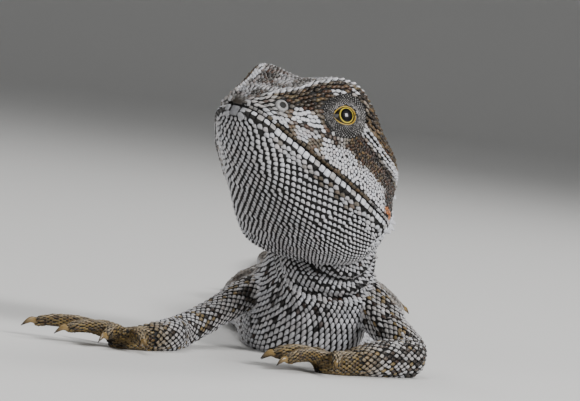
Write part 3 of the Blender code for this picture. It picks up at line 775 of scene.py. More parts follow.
def throatFill(t):
    # The scales stand apart more and more towards the back of the throat.
    apart = band(t, 3.4, 30, 1.6)
    return 0.88 - 0.2 * apart, 0.68 - 0.08 * apart


def layHead():
    layRows("throat", "head", headSurface, 0.5, 10.0, throatWidth, throatLength, 0.34, headMarks,
            keepThroat, seed=3, fit=0.16, fill=throatFill)


class Cells:
    # Finds what lies near, by whole cells of space.
    def __init__(self, size):
        self.size, self.held = size, {}

    def cell(self, point):
        return tuple(math.floor(v / self.size) for v in point)

    def put(self, root):
        self.held.setdefault(self.cell(root["point"]), []).append(root)

    def near(self, point):
        x, y, z = self.cell(point)
        for i in (-1, 0, 1):
            for j in (-1, 0, 1):
                for k in (-1, 0, 1):
                    yield from self.held.get((x + i, y + j, z + k), ())


# A mosaic over the upper head: scales spread evenly on the skin, finer on the temples and the cheeks.
mosaic = {
    "seed": 12, "drops": 60000, "cell": 1.2, "crowd": 0.8, "rounds": 12, "reach": 1.12, "push": 0.3,
    "height": 0.26,
}


def mosaicSpacing(t, q):
    spacing = 0.66 - 0.08 * band(q, -1, 0.8, 0.2)
    spacing += (0.45 - spacing) * band(q, 2.0, 2.7, 0.1) * band(t, 5.0, 9.6, 0.3)
    spacing += (0.56 - spacing) * band(q, 2.62, 3.0, 0.08) * band(t, 2.5, 9.6, 0.3)
    spacing += (0.8 - spacing) * band(q, 3.12, 9, 0.05)
    return spacing


def mosaicGrid():
    # Points of the upper head with their t and u, and the direction back at each.
    columns = [k / 288 for k in range(-106, 107)]
    ts = np.linspace(0.15, 9.9, 176).tolist()
    rows = [[onSection(headSection(t), u) for u in columns] for t in ts]
    grid = []
    for i in range(len(ts) - 1):
        for j, u in enumerate(columns[:-1]):
            here = rows[i][j]
            back, across = rows[i + 1][j] - here, rows[i][j + 1] - here
            grid.append((here, back, across, ts[i], u))
    return grid


def nearestOf(points):
    tree = KDTree(len(points))
    for i, point in enumerate(points):
        tree.insert(point, i)
    tree.balance()
    return tree


def scatterMosaic(grid, rng, fixed):
    # Drops points on the grid by its area and keeps those that crowd neither each other nor the set plates.
    spacings = [mosaicSpacing(t, headPlace(u)) for _, _, _, t, u in grid]
    weights = [row[1].cross(row[2]).length / spacing ** 2 for row, spacing in zip(grid, spacings)]
    cells = Cells(mosaic["cell"])
    for point, radius in fixed:
        cells.put({"point": point, "spacing": 2 * radius})
    free = []
    for i in rng.choices(range(len(grid)), weights, k=mosaic["drops"]):
        here, back, across = grid[i][:3]
        point = here + rng.random() * back + rng.random() * across
        spacing = spacings[i]
        if all((point - other["point"]).length > mosaic["crowd"] * (spacing + other["spacing"]) / 2
               for other in cells.near(point)):
            cells.put({"point": point, "spacing": spacing})
            free.append((point, spacing))
    return free


def relaxMosaic(free, fixed):
    # Pushes the points apart along the skin until they lie evenly.
    points = [skinTree.find_nearest(point)[0] for point, _ in free]
    spacings = [spacing for _, spacing in free] + [2 * radius for _, radius in fixed]
    held = [point for point, _ in fixed]
    for _ in range(mosaic["rounds"]):
        everyPoint = points + held
        tree = nearestOf(everyPoint)
        moved = []
        for i, point in enumerate(points):
            step = Vector()
            for other, j, away in tree.find_range(point, 1.25 * spacings[i]):
                reach = mosaic["reach"] * (spacings[i] + spacings[j]) / 2
                if j != i and 1e-6 < away < reach:
                    step += (point - other) / away * (reach - away)
            moved.append(skinTree.find_nearest(point + mosaic["push"] * step)[0])
        points = moved
    return points


def layMosaic():
    # The mosaic closes round the plates and the throat's rows, which stay where they are.
    rng = random.Random(mosaic["seed"])
    plates = [root for name in (*headRows, "chin", "throat") for root in coat.get(name, [])]
    fixed = [(root["point"], 0.45 * min(root["size"][0], root["size"][1])) for root in plates]
    grid = mosaicGrid()
    points = relaxMosaic(scatterMosaic(grid, rng, fixed), fixed)
    gridTree, ownTree = nearestOf([row[0] for row in grid]), nearestOf(points)
    for point in points:
        _, back, _, t, u = grid[gridTree.find(point)[1]]
        q = headPlace(u)
        if not (keepUpperHead(t, u, point) or keepJawSide(t, u)):
            continue
        around = sorted(away for _, _, away in ownTree.find_n(point, 7))[1:]
        spacing = min(sum(around) / len(around), 1.25 * mosaicSpacing(t, q))
        marks = [v + rng.uniform(-0.08, 0.08) for v in headMarks(t, u, point)]
        if q > 3.1:
            size = (0.9 * spacing, 1.05 * spacing, 0.3)
            layRoot("jawSide", ("head", "mosaic"), point, back, size, marks, t, u)
            continue
        flat = (q > 2.0 and t > 2.2) or t > 9
        stretch, narrow = 1.0 if flat else 1.3, 0.93
        if (2.0 < q < 3.0 and t < 4.4) or 0.8 < q < 1.9:
            # The scales above the lip and along the brow are long and narrow.
            stretch, narrow = 1.5, 0.8
        height = mosaic["height"] * rng.uniform(0.8, 1.2) * (0.7 if flat else 1.2)
        size = (narrow * spacing, 0.96 * spacing * stretch, height)
        layRoot("cheek" if flat else "crown", ("head", "mosaic"), point, back, size, marks, t, u)


def bodyWidth(t):
    return 0.7 + 0.18 * band(t, 0.7, 9.5, 0.4) + 0.3 * band(t, 3.4, 9.5, 0.6)


def bodyLength(t):
    return 0.5 + 0.2 * band(t, 0.7, 30, 0.4) + 0.24 * band(t, 3.4, 30, 0.6)


def layBody():
    layRows("body", "body", bodySurface, 0.0, 9.0, bodyWidth, bodyLength, 0.34, bodyMarks, seed=5,
            fill=(0.9, 0.72))
    layRows("tail", "body", bodySurface, 9.02, bodyEnd, 0.9, 0.95, 0.3, bodyMarks, seed=6, fit=0.25)


def layLimbs():
    for seed, (name, limb) in enumerate(limbs.items()):
        surface = tubeSurface(limb["knots"])
        layRows("limb", name, surface, 0.5, 4.95, scales["limbWidth"], scales["limbLength"], 0.32, limbMarks,
                seed=10 + seed, tolerance=0.5, fill=(0.9, 0.85))
        palm = tubeSurface(palmKnots(limb))
        layRows("toe", name, palm, 0.2, 3, scales["toeWidth"], 0.5, 0.2, toeMarks,
                seed=20 + seed, tolerance=0.5)
        for k, tip in enumerate(limb["tips"]):
            digit = tubeSurface(digitKnots(limb, tip))
            layRows("toe", name, digit, 0.4, 3, scales["toeWidth"], 0.46, 0.18, toeMarks,
                    seed=30 + 5 * seed + k, tolerance=0.35)


def thinOut(share):
    # Drops a root that crowds one of an earlier part, where two parts meet.
    cells = Cells(1.5)
    for name, roots in coat.items():
        left = []
        for root in roots:
            crowded = any(
                other["group"] != root["group"]
                and (other["point"] - root["point"]).length < share * (other["size"][0] + root["size"][0]) / 2
                for other in cells.near(root["point"])
            )
            if not crowded:
                left.append(root)
        for root in left:
            cells.put(root)
        coat[name] = left


# Larger plates of the head, set one after another along a line: lips, brow and temple strip.
headRows = {
    "lowerLip": {"below": 0.5, "first": 0.75, "last": 8.3, "size": (1.08, 1.08, 0.42)},
    "upperLip": {"below": -0.32, "first": 0.75, "last": 8.3, "size": (0.58, 0.8, 0.3)},
    "brow": {"place": 0.95, "first": 1.6, "last": 6.4, "size": (0.72, 1.1, 0.46)},
    "browTop": {"place": 0.8, "first": 2.4, "last": 5.9, "size": (0.64, 1.0, 0.4)},
    "browSide": {"place": 1.1, "first": 1.9, "last": 6.4, "size": (0.64, 1.0, 0.4)},
    "strip": {"place": 1.78, "slope": -0.1, "first": 5.75, "last": 8.8, "size": (0.74, 1.0, 0.42)},
    "stripSide": {"place": 1.92, "slope": -0.1, "first": 5.65, "last": 8.6, "size": (0.74, 0.96, 0.4)},
}


def placeBelowMouth(t, distance):
    # The place on the head that lies the distance in millimetres below the mouth line.
    place, step = head["mouthPlace"], math.copysign(0.04, distance)
    gone, last = 0.0, headSurface(t, head["mouthPlace"] / 12)
    while gone < abs(distance) and 0.2 < place < 5.8:
        place += step
        point = headSurface(t, place / 12)
        gone += (point - last).length
        last = point
    return place


def layHeadRows():
    rng = random.Random(8)
    for name, row in headRows.items():
        width, length, height = row["size"]
        for side in (1, -1):
            t, last = row["first"], None
            while t < row["last"]:
                if "below" in row:
                    place = placeBelowMouth(t, row["below"])
                else:
                    place = row["place"] + row.get("slope", 0) * (t - row["first"])
                u = sideU(place, side)
                point = headSurface(t, u)
                grow = 0.8 if t < 1.3 or t > 6.5 else 1.0
                if last is None or (point - last).length >= 0.97 * length * grow:
                    back = headSurface(t + 0.05, u) - point
                    size = (0.94 * width * grow, 0.95 * length * grow * rng.uniform(0.97, 1.03), height)
                    marks = [v + rng.uniform(-0.05, 0.05) for v in headMarks(t, u, point)]
                    if name == "lowerLip":
                        marks = [1.0, 0.0, 0.0] if rng.random() > 0.1 else [0.7, 0.25, 0.0]
                    if name == "upperLip" and noise.noise(point * 0.4) > 0.1:
                        marks = [0.15, 0.75, 0.0]
                    layRoot(name, ("head", name), point, back, size, marks, t, u, 1.0)
                    last = point
                t += 0.01
    # The plates next to the front ones, above and below: t, u, size and marks.
    for t, u, size, marks in (
        (0.75, 0.4, (1.0, 1.2, 0.4), [0.6, 0.05, 0.0]), (0.75, 0.6, (1.0, 1.2, 0.4), [0.6, 0.05, 0.0]),
        (0.45, 0.17, (0.95, 1.0, 0.36), [0.7, 0.15, 0.0]), (0.45, 0.83, (0.95, 1.0, 0.36), [0.7, 0.15, 0.0]),
    ):
        point = headSurface(t, u)
        layRoot("chin", ("head", "chin"), point, headSurface(t + 0.1, u) - point, size, marks, t, u, 1.2)
    # The plates on the very front: left, up, size and marks. Those off the middle come in pairs.
    for left, up, size, marks in (
        (0, 0.5, (1.9, 1.1, 0.4), [0.06, 0.5, 0.0]), (0, -1.15, (1.5, 1.6, 0.3), [0.3, 0.05, 0.0]),
        (1.2, 0.5, (0.9, 0.9, 0.34), [0.2, 0.4, 0.0]), (1.25, -0.75, (0.9, 1.0, 0.34), [0.5, 0.05, 0.0]),
        (0, 1.4, (0.8, 0.8, 0.34), [0.2, 0.3, 0.0]), (0.8, 1.3, (0.75, 0.8, 0.34), [0.15, 0.4, 0.0]),
    ):
        back, u = (headUp, 0.0) if up > 0 else (-headUp, 0.5)
        for side in (1, -1) if left else (1,):
            point = headPoint(-0.3, side * left, up)
            layRoot("chin", ("head", "chin"), point, back, size, marks, 0.1, u, 1.6)


lids = {"rings": 9, "around": 46, "inner": 1.14, "outer": 2.25, "height": 0.2, "rimRadius": 0.1}


def layLids():
    # Tiny scales in spokes round each eye, on the mound of the lids.
    rng = random.Random(9)
    a, b = head["eyeOpening"]
    for side in (-1, 1):
        centre = eyeCentre(side)
        back, out, up = lidAxes(side)
        for ring in range(lids["rings"]):
            reach = lids["inner"] + (lids["outer"] - lids["inner"]) * (ring / (lids["rings"] - 1)) ** 1.1
            for k in range(lids["around"]):
                turn = 2 * math.pi * (k + 0.5 * (ring % 2)) / lids["around"]
                spoke = a * math.cos(turn) * back + b * math.sin(turn) * up
                hit = skinTree.ray_cast(centre + reach * spoke + 9 * out, -out)
                if hit[0] is None:
                    continue
                width = 2 * math.pi * reach * spoke.length / lids["around"]
                length = (lids["outer"] - lids["inner"]) / lids["rings"] * spoke.length * 1.9
                pale = 0.4 + rng.uniform(-0.24, 0.24)
                pale += 0.35 * band(math.sin(turn), 0.3, 2, 0.3) * band(ring, -1, 2, 1)
                marks = [pale - 0.35 * max(0, -side * math.cos(turn)) * (ring / 9), 0.25, 0.0]
                size = (width * 0.8, length * 0.85, lids["height"])
                layRoot("lids", ("head", "lids"), hit[0], spoke, size, marks, 5.0, 0.165 * side, 0.4)


# Spines: the side fringe, the raised scales of the back, the tail's sides, the nape, the limbs and the jaw.
def laySpine(part, surface, t, u, length, radius, lean, marks, layer="spines"):
    point = surface(t, u)
    back = surface(t + 0.06, u) - point
    layRoot(layer, (part, layer), point, back, (2 * radius, 2 * radius, length), marks, t, u, 1.2, lean)


def layBodySpines():
    rng = random.Random(41)
    white, tan = [0.95, 0.08, 0.0], [0.72, 0.3, 0.0]
    for k in range(50):
        t = 2.9 + 0.0935 * k
        for u in (96 / 360, 264 / 360):
            main = k % 2 == 0
            taper = 0.75 + 0.25 * math.sin(math.pi * k / 49)
            length = (2.3 if main else 1.4) * taper * rng.uniform(0.85, 1.1)
            shift = 0 if main else rng.uniform(-0.02, 0.03)
            laySpine("body", bodySurface, t, u + shift, length, 0.42, 0.8, white)
    for row in range(30):
        t = 2.1 + 0.235 * row
        for k in range(9):
            angle = (11 if t < 7.2 else 9) * (k - 4) + rng.uniform(-4, 4)
            here = t + rng.uniform(-0.05, 0.05)
            size = rng.uniform(0.7, 1.15)
            laySpine("body", bodySurface, here, (angle / 360) % 1, 0.95 * size, 0.55 * size, 1.1,
                     tan if rng.random() < 0.6 else [0.3, 0.45, 0.0])
    for k in range(46):
        t = 9.1 + 0.12 * k
        size = 1.5 * (1 - k / 58)
        for u, share in ((82 / 360, 1), (278 / 360, 1), (30 / 360, 0.6), (330 / 360, 0.6), (0, 0.45)):
            laySpine("body", bodySurface, t, u, size * share, 0.3 * size, 1.3, tan)
    for t, length in ((0.3, 1.1), (0.52, 1.5), (0.7, 1.1), (0.82, 1.3)):
        for k in range(11):
            u = ((85 - 17.0 * k) / 360) % 1
            laySpine("body", bodySurface, t, u, length * rng.uniform(0.8, 1.1), 0.36, 0.9, white)


def layLimbSpines():
    rng = random.Random(43)
    white, tan = [0.9, 0.1, 0.0], [0.45, 0.8, 0.0]
    for name, limb in limbs.items():
        surface = tubeSurface(limb["knots"])
        for k in range(26):
            for u in (-0.06, 0.02, 0.1):
                t = 0.9 + 0.14 * k + rng.uniform(-0.04, 0.04)
                u = (u + rng.uniform(-0.02, 0.02)) % 1
                laySpine(name, surface, t, u, 0.55, 0.34, 1.5, white if rng.random() < 0.6 else tan)


def layHeadSpines():
    rng = random.Random(42)
    white = [1.0, 0.02, 0.0]
    for side in (1, -1):
        def put(t, place, length, radius, lean, marks=white):
            laySpine("head", headSurface, t, sideU(place, side), length, radius, lean, marks, "jawSpines")

        for k in range(4):
            t = 8.45 + rng.uniform(-0.08, 0.08)
            put(t, 2.66 + 0.15 * k, (2.1 - 0.2 * k) * rng.uniform(0.9, 1.1), 0.62, 0.6)
        for k in range(6):
            put(8.3 + rng.uniform(-0.1, 0.1), 3.25 + 0.18 * k, 0.95 * rng.uniform(0.8, 1.1), 0.5, 1.1)
        for k in range(4):
            put(9.0 + rng.uniform(-0.1, 0.1), 1.9 + 0.22 * k, 1.2 * rng.uniform(0.8, 1.1), 0.5, 0.9)
        for k in range(7):
            gold = [0.35, 0.9, 0.05] if k < 4 else [0.9, 0.1, 0.0]
            put(5.9 + 0.42 * k, 1.56 + 0.02 * k, 0.6, 0.42, 1.5, gold)
        for k in range(5):
            put(6.6 + 0.4 * k, 3.75, 0.45 + 0.15 * k, 0.33, 1.7)


layHeadRows()
layLids()
layHead()
layMosaic()
layBody()
layLimbs()
thinOut(0.52)
layBodySpines()
layLimbSpines()
layHeadSpines()
print("roots", {name: len(roots) for name, roots in coat.items()})

# Unit forms of one scale: x across, y back to the tip, z out. The rim attribute is 1 where it meets the skin,
# and sets how much painted shade each part of the scale takes.
outlines = {
    "lozenge": [(0, -0.5), (0.36, -0.38), (0.5, -0.08), (0.27, 0.29), (0, 0.6)],
    "keel": [(0, -0.47), (0.33, -0.38), (0.5, -0.05), (0.27, 0.29), (0, 0.6)],
    "plate": [(0, -0.5), (0.4, -0.48), (0.5, -0.3), (0.49, 0.34), (0.38, 0.49), (0, 0.5)],
    "grain": [(0, -0.5), (0.42, -0.26), (0.42, 0.26), (0, 0.5)],
    "tile": [(0, -0.5), (0.45, -0.27), (0.5, 0.22), (0.12, 0.5)],
}
heights = {
    "lozenge": (0.3, 0.62, 0.95, 1.0), "keel": (0.25, 0.8, 1.0, 1.25),
    "plate": (0.55, 0.72, 1.0, 1.0), "grain": (0.35, 0.5, 1.0, 0.95),
    "tile": (0.45, 0.7, 1.0, 1.0),
}
bevelled = ("tile", "plate")


def scaleForm(name):
    # A foot under the skin, a top edge, and then a bevelled face or a ridge of two points.
    half = outlines[name]
    outline = half + [(-x, y) for x, y in half[-2:0:-1]]
    front, rear, ridgeFront, ridgeRear = heights[name]
    count = len(outline)
    points = [(0.92 * x, 0.92 * y, -0.9) for x, y in outline]
    points += [(x, y, front + (rear - front) * (y + 0.5)) for x, y in outline]
    faces = [(i, (i + 1) % count, count + (i + 1) % count, count + i) for i in range(count)]
    rims = [1.0] * count + [0.8] * count
    if name in bevelled:
        rise = ridgeRear - ridgeFront
        points += [(0.72 * x, 0.72 * y, ridgeFront + rise * (y + 0.5)) for x, y in outline]
        for i in range(count):
            j = (i + 1) % count
            faces.append((count + i, count + j, 2 * count + j, 2 * count + i))
        faces.append(tuple(range(2 * count, 3 * count)))
        rims += [0.2] * count
    else:
        points += [(0, -0.2, ridgeFront), (0, 0.2, ridgeRear)]
        a, b = 2 * count, 2 * count + 1
        for i in range(count):
            j = (i + 1) % count
            faces.append((count + i, count + j, a if outline[i][1] + outline[j][1] < 0 else b))
            before = outline[i - 1][1] + outline[i][1]
            if before * (outline[i][1] + outline[j][1]) <= 0 and abs(outline[i][0]) > 0.2:
                faces.append((count + i, a, b))
        rims += [0.0, 0.0]
    mesh = makeMesh(name, points, faces)
    setValues(mesh, "rim", "FLOAT", rims)
    return mesh


def spineForm():
    # Rings from the foot up: height, radius, shift back and rim, with a point over the last one.
    rows = [(-0.3, 0.5, 0.0, 1.0), (0.05, 0.46, 0.0, 0.7), (0.45, 0.3, 0.08, 0.2), (0.8, 0.13, 0.24, 0.0)]
    sides = 7
    turns = [2 * math.pi * i / sides for i in range(sides)]
    rings = [[Vector((r * math.cos(a), y + r * math.sin(a), z)) for a in turns] for z, r, y, _ in rows]
    points, faces = loftRings(rings)
    points[-1] = Vector((0, 0.38, 1.0))
    mesh = makeMesh("spine", points, faces)
    setValues(mesh, "rim", "FLOAT", [row[3] for row in rows for _ in turns] + [1.0, 0.0])
    return mesh


# The coat ends this far above the floor, in metres, and each scale takes this share of the OFBake map.
lowest, bakePatch = 0.00002, 0.0028


def growTree():
    # Sets one form on each root, turned and sized by the roots' own attributes.
    tree = bpy.data.node_groups.new("growScales", "GeometryNodeTree")
    face = tree.interface
    for name, kind in (("Roots", "Geometry"), ("Form", "Object"), ("Seed", "Int"), ("Finish", "Material")):
        face.new_socket(name, in_out="INPUT", socket_type="NodeSocket" + kind)
    face.new_socket("Unevenness", in_out="INPUT", socket_type="NodeSocketFloat").default_value = 0.06
    face.new_socket("Scales", in_out="OUTPUT", socket_type="NodeSocketGeometry")
    nodes, links = tree.nodes, tree.links
    start, end = nodes.new("NodeGroupInput"), nodes.new("NodeGroupOutput")
    form = nodes.new("GeometryNodeObjectInfo")
    form.inputs["As Instance"].default_value = True
    turn = nodes.new("GeometryNodeInputNamedAttribute")
    size = nodes.new("GeometryNodeInputNamedAttribute")
    for node, name in ((turn, "turn"), (size, "size")):
        node.data_type = "FLOAT_VECTOR"
        node.inputs["Name"].default_value = name
    low, high = nodes.new("ShaderNodeMath"), nodes.new("ShaderNodeMath")
    low.operation, high.operation = "SUBTRACT", "ADD"
    low.inputs[0].default_value = high.inputs[0].default_value = 1.0
    spread = nodes.new("FunctionNodeRandomValue")
    grow = nodes.new("ShaderNodeVectorMath")
    grow.operation = "SCALE"
    place = nodes.new("GeometryNodeInstanceOnPoints")
    real = nodes.new("GeometryNodeRealizeInstances")
    finish = nodes.new("GeometryNodeSetMaterial")
    for source, target in (
        (start.outputs["Form"], form.inputs["Object"]),
        (start.outputs["Unevenness"], low.inputs[1]),
        (start.outputs["Unevenness"], high.inputs[1]),
        (low.outputs[0], spread.inputs[2]),
        (high.outputs[0], spread.inputs[3]),
        (start.outputs["Seed"], spread.inputs["Seed"]),
        (size.outputs[0], grow.inputs[0]),
        (spread.outputs[1], grow.inputs["Scale"]),
        (start.outputs["Roots"], place.inputs["Points"]),
        (form.outputs["Geometry"], place.inputs["Instance"]),
        (turn.outputs[0], place.inputs["Rotation"]),
        (grow.outputs[0], place.inputs["Scale"]),
        (place.outputs["Instances"], real.inputs["Geometry"]),
        (real.outputs["Geometry"], finish.inputs["Geometry"]),
        (start.outputs["Finish"], finish.inputs["Material"]),
        (finish.outputs["Geometry"], end.inputs["Scales"]),
    ):
        links.new(source, target)
    return tree


def setInput(modifier, name, value):
    for item in modifier.node_group.interface.items_tree:
        if item.item_type == "SOCKET" and item.in_out == "INPUT" and item.name == name:
            modifier[item.identifier] = value


def growPiece(name, roots, formMesh, finish, seed, tree):
    # One piece of the coat, as plain mesh with its marks and its OFBake map.
    points = bpy.data.meshes.new(name + "Roots")
    points.from_pydata([root["point"] * mm for root in roots], [], [])
    setValues(points, "turn", "FLOAT_VECTOR", [v for root in roots for v in root["turn"]])
    setValues(points, "size", "FLOAT_VECTOR", [v * mm for root in roots for v in root["size"]])
    setValues(points, "marks", "FLOAT_COLOR", markValues(root["marks"] for root in roots))
    form = addObject(name + "Form", formMesh)
    carrier = addObject(name + "Carrier", points)
    modifier = carrier.modifiers.new("grow", "NODES")
    modifier.node_group = tree
    setInput(modifier, "Form", form)
    setInput(modifier, "Seed", seed)
    setInput(modifier, "Finish", finish)
    carrier.update_tag()
    mesh = bpy.data.meshes.new_from_object(carrier.evaluated_get(bpy.context.evaluated_depsgraph_get()))
    carrier.modifiers.clear()
    bpy.data.objects.remove(carrier)
    bpy.data.objects.remove(form)
    co = meshArrays(mesh)[0]
    co[:, 2] = np.maximum(co[:, 2], lowest)
    mesh.vertices.foreach_set("co", co.ravel())
    addBakeMap(mesh, formMesh, roots)
    for attribute in ("turn", "size"):
        if attribute in mesh.attributes:
            mesh.attributes.remove(mesh.attributes[attribute])
    mesh.shade_smooth()
    mesh.update()
    mesh.name = name
    return addObject(name, mesh)


def addBakeMap(mesh, formMesh, roots):
    # Each scale takes a small patch of the map, round the place of its root.
    each = len(formMesh.vertices)
    local = np.array([v.co[:2] for v in formMesh.vertices])
    corner = np.empty(len(mesh.loops), dtype=np.int64)
    mesh.loops.foreach_get("vertex_index", corner)
    places = np.array([root["place"] for root in roots])
    uv = places[corner // each] + bakePatch * local[corner % each]
    mesh.uv_layers.new(name="OFBake").data.foreach_set("uv", uv.ravel())


# Finishes: the colours that the marks mix, the grain, and the painted shade on the rims of the scales and on
# the skin between them.
skinColours = {
    "black": (0.004, 0.0035, 0.003, 1), "white": (0.6, 0.61, 0.65, 1),
    "deepBrown": (0.02, 0.01, 0.003, 1), "tan": (0.34, 0.23, 0.065, 1), "orange": (0.5, 0.13, 0.004, 1),
    # The two shades below are painted shade: on the rims of the scales and on the skin between them.
    "rimPaintedShade": (0.012, 0.009, 0.007, 1), "skinPaintedShade": (0.006, 0.0045, 0.0035, 1),
}
grains = {"fine": 2600, "broad": 420, "scales": (0.3, 0.00008), "skin": (0.5, 0.0001)}


def mixNode(nodes, links, share, a, b, mode="MIX"):
    mix = nodes.new("ShaderNodeMix")
    mix.data_type = "RGBA"
    mix.blend_type = mode
    for socket, value in ((mix.inputs[0], share), (mix.inputs[6], a), (mix.inputs[7], b)):
        if isinstance(value, bpy.types.NodeSocket):
            links.new(value, socket)
        else:
            socket.default_value = value
    return mix.outputs[2]


def mapRange(nodes, links, value, low, high, lowTo=0.0, highTo=1.0):
    node = nodes.new("ShaderNodeMapRange")
    for name, number in (("From Min", low), ("From Max", high), ("To Min", lowTo), ("To Max", highTo)):
        node.inputs[name].default_value = number
    links.new(value, node.inputs["Value"])
    return node


def marksGroup():
    # Turns the marks of a point into its colour, the same for the skin and for every scale.
    group = bpy.data.node_groups.new("dragonMarks", "ShaderNodeTree")
    for name, kind in (("Colour", "Color"), ("Rim", "Float"), ("Grain", "Float")):
        group.interface.new_socket(name, in_out="OUTPUT", socket_type="NodeSocket" + kind)
    nodes, links = group.nodes, group.links
    end = nodes.new("NodeGroupOutput")
    marks, rim = nodes.new("ShaderNodeAttribute"), nodes.new("ShaderNodeAttribute")
    marks.attribute_name, rim.attribute_name = "marks", "rim"
    split = nodes.new("ShaderNodeSeparateColor")
    links.new(marks.outputs["Color"], split.inputs["Color"])
    place = nodes.new("ShaderNodeTexCoord")
    fine, broad = nodes.new("ShaderNodeTexNoise"), nodes.new("ShaderNodeTexNoise")
    fine.inputs["Scale"].default_value = grains["fine"]
    fine.inputs["Detail"].default_value = 3
    broad.inputs["Scale"].default_value = grains["broad"]
    for node in (fine, broad):
        links.new(place.outputs["Object"], node.inputs["Vector"])
    c = skinColours
    plain = mixNode(nodes, links, split.outputs["Red"], c["black"], c["white"])
    brown = mixNode(nodes, links, split.outputs["Red"], c["deepBrown"], c["tan"])
    colour = mixNode(nodes, links, split.outputs["Green"], plain, brown)
    colour = mixNode(nodes, links, split.outputs["Blue"], colour, c["orange"])
    speck = mapRange(nodes, links, fine.outputs["Fac"], 0.3, 0.7, 0.72, 1.12)
    tint = mapRange(nodes, links, broad.outputs["Fac"], 0.3, 0.7, 0.9, 1.06)
    both = nodes.new("ShaderNodeMath")
    both.operation = "MULTIPLY"
    links.new(speck.outputs["Result"], both.inputs[0])
    links.new(tint.outputs["Result"], both.inputs[1])
    grey = nodes.new("ShaderNodeCombineColor")
    for name in ("Red", "Green", "Blue"):
        links.new(both.outputs[0], grey.inputs[name])
    colour = mixNode(nodes, links, 1.0, colour, grey.outputs["Color"], "MULTIPLY")
    links.new(colour, end.inputs["Colour"])
    links.new(rim.outputs["Fac"], end.inputs["Rim"])
    links.new(fine.outputs["Fac"], end.inputs["Grain"])
    return group


def newMaterial(name):
    material = bpy.data.materials.new(name)
    material.use_nodes = True
    tree = material.node_tree
    return material, tree.nodes, tree.links, tree.nodes["Principled BSDF"]


def markedMaterial(name, group, shade, grain, rough):
    # A material whose colour comes from the marks, with its fine grain, and that colour darkened as painted
    # shade.
    material, nodes, links, shader = newMaterial(name)
    marks = nodes.new("ShaderNodeGroup")
    marks.node_tree = group
    bump = nodes.new("ShaderNodeBump")
    bump.inputs["Strength"].default_value, bump.inputs["Distance"].default_value = grain
    links.new(marks.outputs["Grain"], bump.inputs["Height"])
    links.new(bump.outputs["Normal"], shader.inputs["Normal"])
    shader.inputs["Roughness"].default_value = rough
    shaded = mixNode(nodes, links, 1.0, marks.outputs["Colour"], shade, "MULTIPLY")
    return material, nodes, links, shader, marks, shaded


def scaleFinish(name, group, rough, rimLow=0.4, rimHigh=0.8):
    # Scales darken towards their rims: painted shade on their top edges and on their sides down to the skin.
    material, nodes, links, shader, marks, shaded = markedMaterial(
        name, group, skinColours["rimPaintedShade"], grains["scales"], rough
    )
    edge = mapRange(nodes, links, marks.outputs["Rim"], rimLow, rimHigh)
    edge.interpolation_type = "SMOOTHSTEP"
    colour = mixNode(nodes, links, edge.outputs["Result"], marks.outputs["Colour"], shaded)
    links.new(colour, shader.inputs["Base Color"])
    shader.inputs["Specular IOR Level"].default_value = 0.45
    return material


def skinFinish(group):
    # The skin between the scales: its marks' colour darkened almost to black, partly its own dark colour and
    # partly painted shade of the gaps.
    material, _, links, shader, _, shaded = markedMaterial(
        "darkSkinAndPaintedShade", group, skinColours["skinPaintedShade"], grains["skin"], 0.7
    )
    links.new(shaded, shader.inputs["Base Color"])
    return material


marks = marksGroup()
roughness = {"head": 0.42, "throat": 0.4, "body": 0.48, "tail": 0.5, "limb": 0.45, "toe": 0.42}
finishes = {name: scaleFinish(name + "Scales", marks, rough) for name, rough in roughness.items()}
finishes["spine"] = scaleFinish("spineHorn", marks, 0.38, rimLow=0.7)
finishes["skin"] = skinFinish(marks)

# Which layers make each piece: its layers, form, finish and slot in the record.
pieces = {
    "throatScales": (["throat", "jawSide"], "lozenge", "throat", "throat_skin"),
    "crownScales": (["crown"], "keel", "head", "head_skin"),
    "cheekScales": (["cheek"], "tile", "head", "head_skin"),
    "lidScales": (["lids"], "grain", "head", "head_skin"),
    "lipPlates": (["lowerLip", "upperLip", "chin"], "plate", "throat", "throat_skin"),
    "browScales": (["brow", "browTop", "browSide", "strip", "stripSide"], "keel", "head", "head_skin"),
    "bodyScales": (["body"], "lozenge", "body", "body_skin"),
    "tailScales": (["tail"], "keel", "tail", "tail_skin"),
    "limbScales": (["limb"], "keel", "limb", "body_skin"),
    "toeScales": (["toe"], "grain", "toe", "toe_skin"),
    "bodySpines": (["spines"], "spine", "spine", "body_skin"),
    "jawSpines": (["jawSpines"], "spine", "spine", "throat_skin"),
}


def growCoat():
    tree = growTree()
    for seed, (name, (layers, form, finish, slot)) in enumerate(pieces.items(), start=1):
        roots = [root for layer in layers for root in coat.get(layer, [])]
        formMesh = spineForm() if form == "spine" else scaleForm(form)
        piece = growPiece(name, roots, formMesh, finishes[finish], seed, tree)
        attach(piece, "root")
        print(name, len(roots), "scales,", len(piece.data.polygons), "faces")


def paintSkin(mesh):
    # Gives each point of the skin the marks of the nearest scale.
    roots = [root for group in coat.values() for root in group]
    tree = nearestOf([root["point"] for root in roots])
    setValues(mesh, "marks", "FLOAT_COLOR", markValues(roots[tree.find(p)[1]]["marks"] for p in skinPoints))


def buildSkin(mesh):
    paintSkin(mesh)
    mesh.vertices.foreach_set("co", (skinPoints * mm).ravel())
    mesh.materials.clear()
    mesh.materials.append(finishes["skin"])
    mesh.shade_smooth()
    mesh.update()
    skin = addObject("skin", mesh)
    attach(skin, "root")
    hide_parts(*[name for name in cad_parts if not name.startswith("eye")])


growCoat()
buildSkin(skinMesh)

# Eyes: a ball whose colours run out from the middle of its gaze, a gold lid rim and a ring for each nostril.
eyes = {
    "bulge": 0.12,
    "sides": 48,
    "behind": 9.0,
    "bands": [
        (0.0, (0.001, 0.001, 0.001)), (0.92, (0.001, 0.001, 0.001)), (0.98, (0.6, 0.48, 0.04)),
        (1.05, (0.5, 0.38, 0.03)), (1.12, (0.02, 0.014, 0.004)), (1.45, (0.006, 0.005, 0.003)),
        (1.75, (0.003, 0.002, 0.002)),
    ],
}


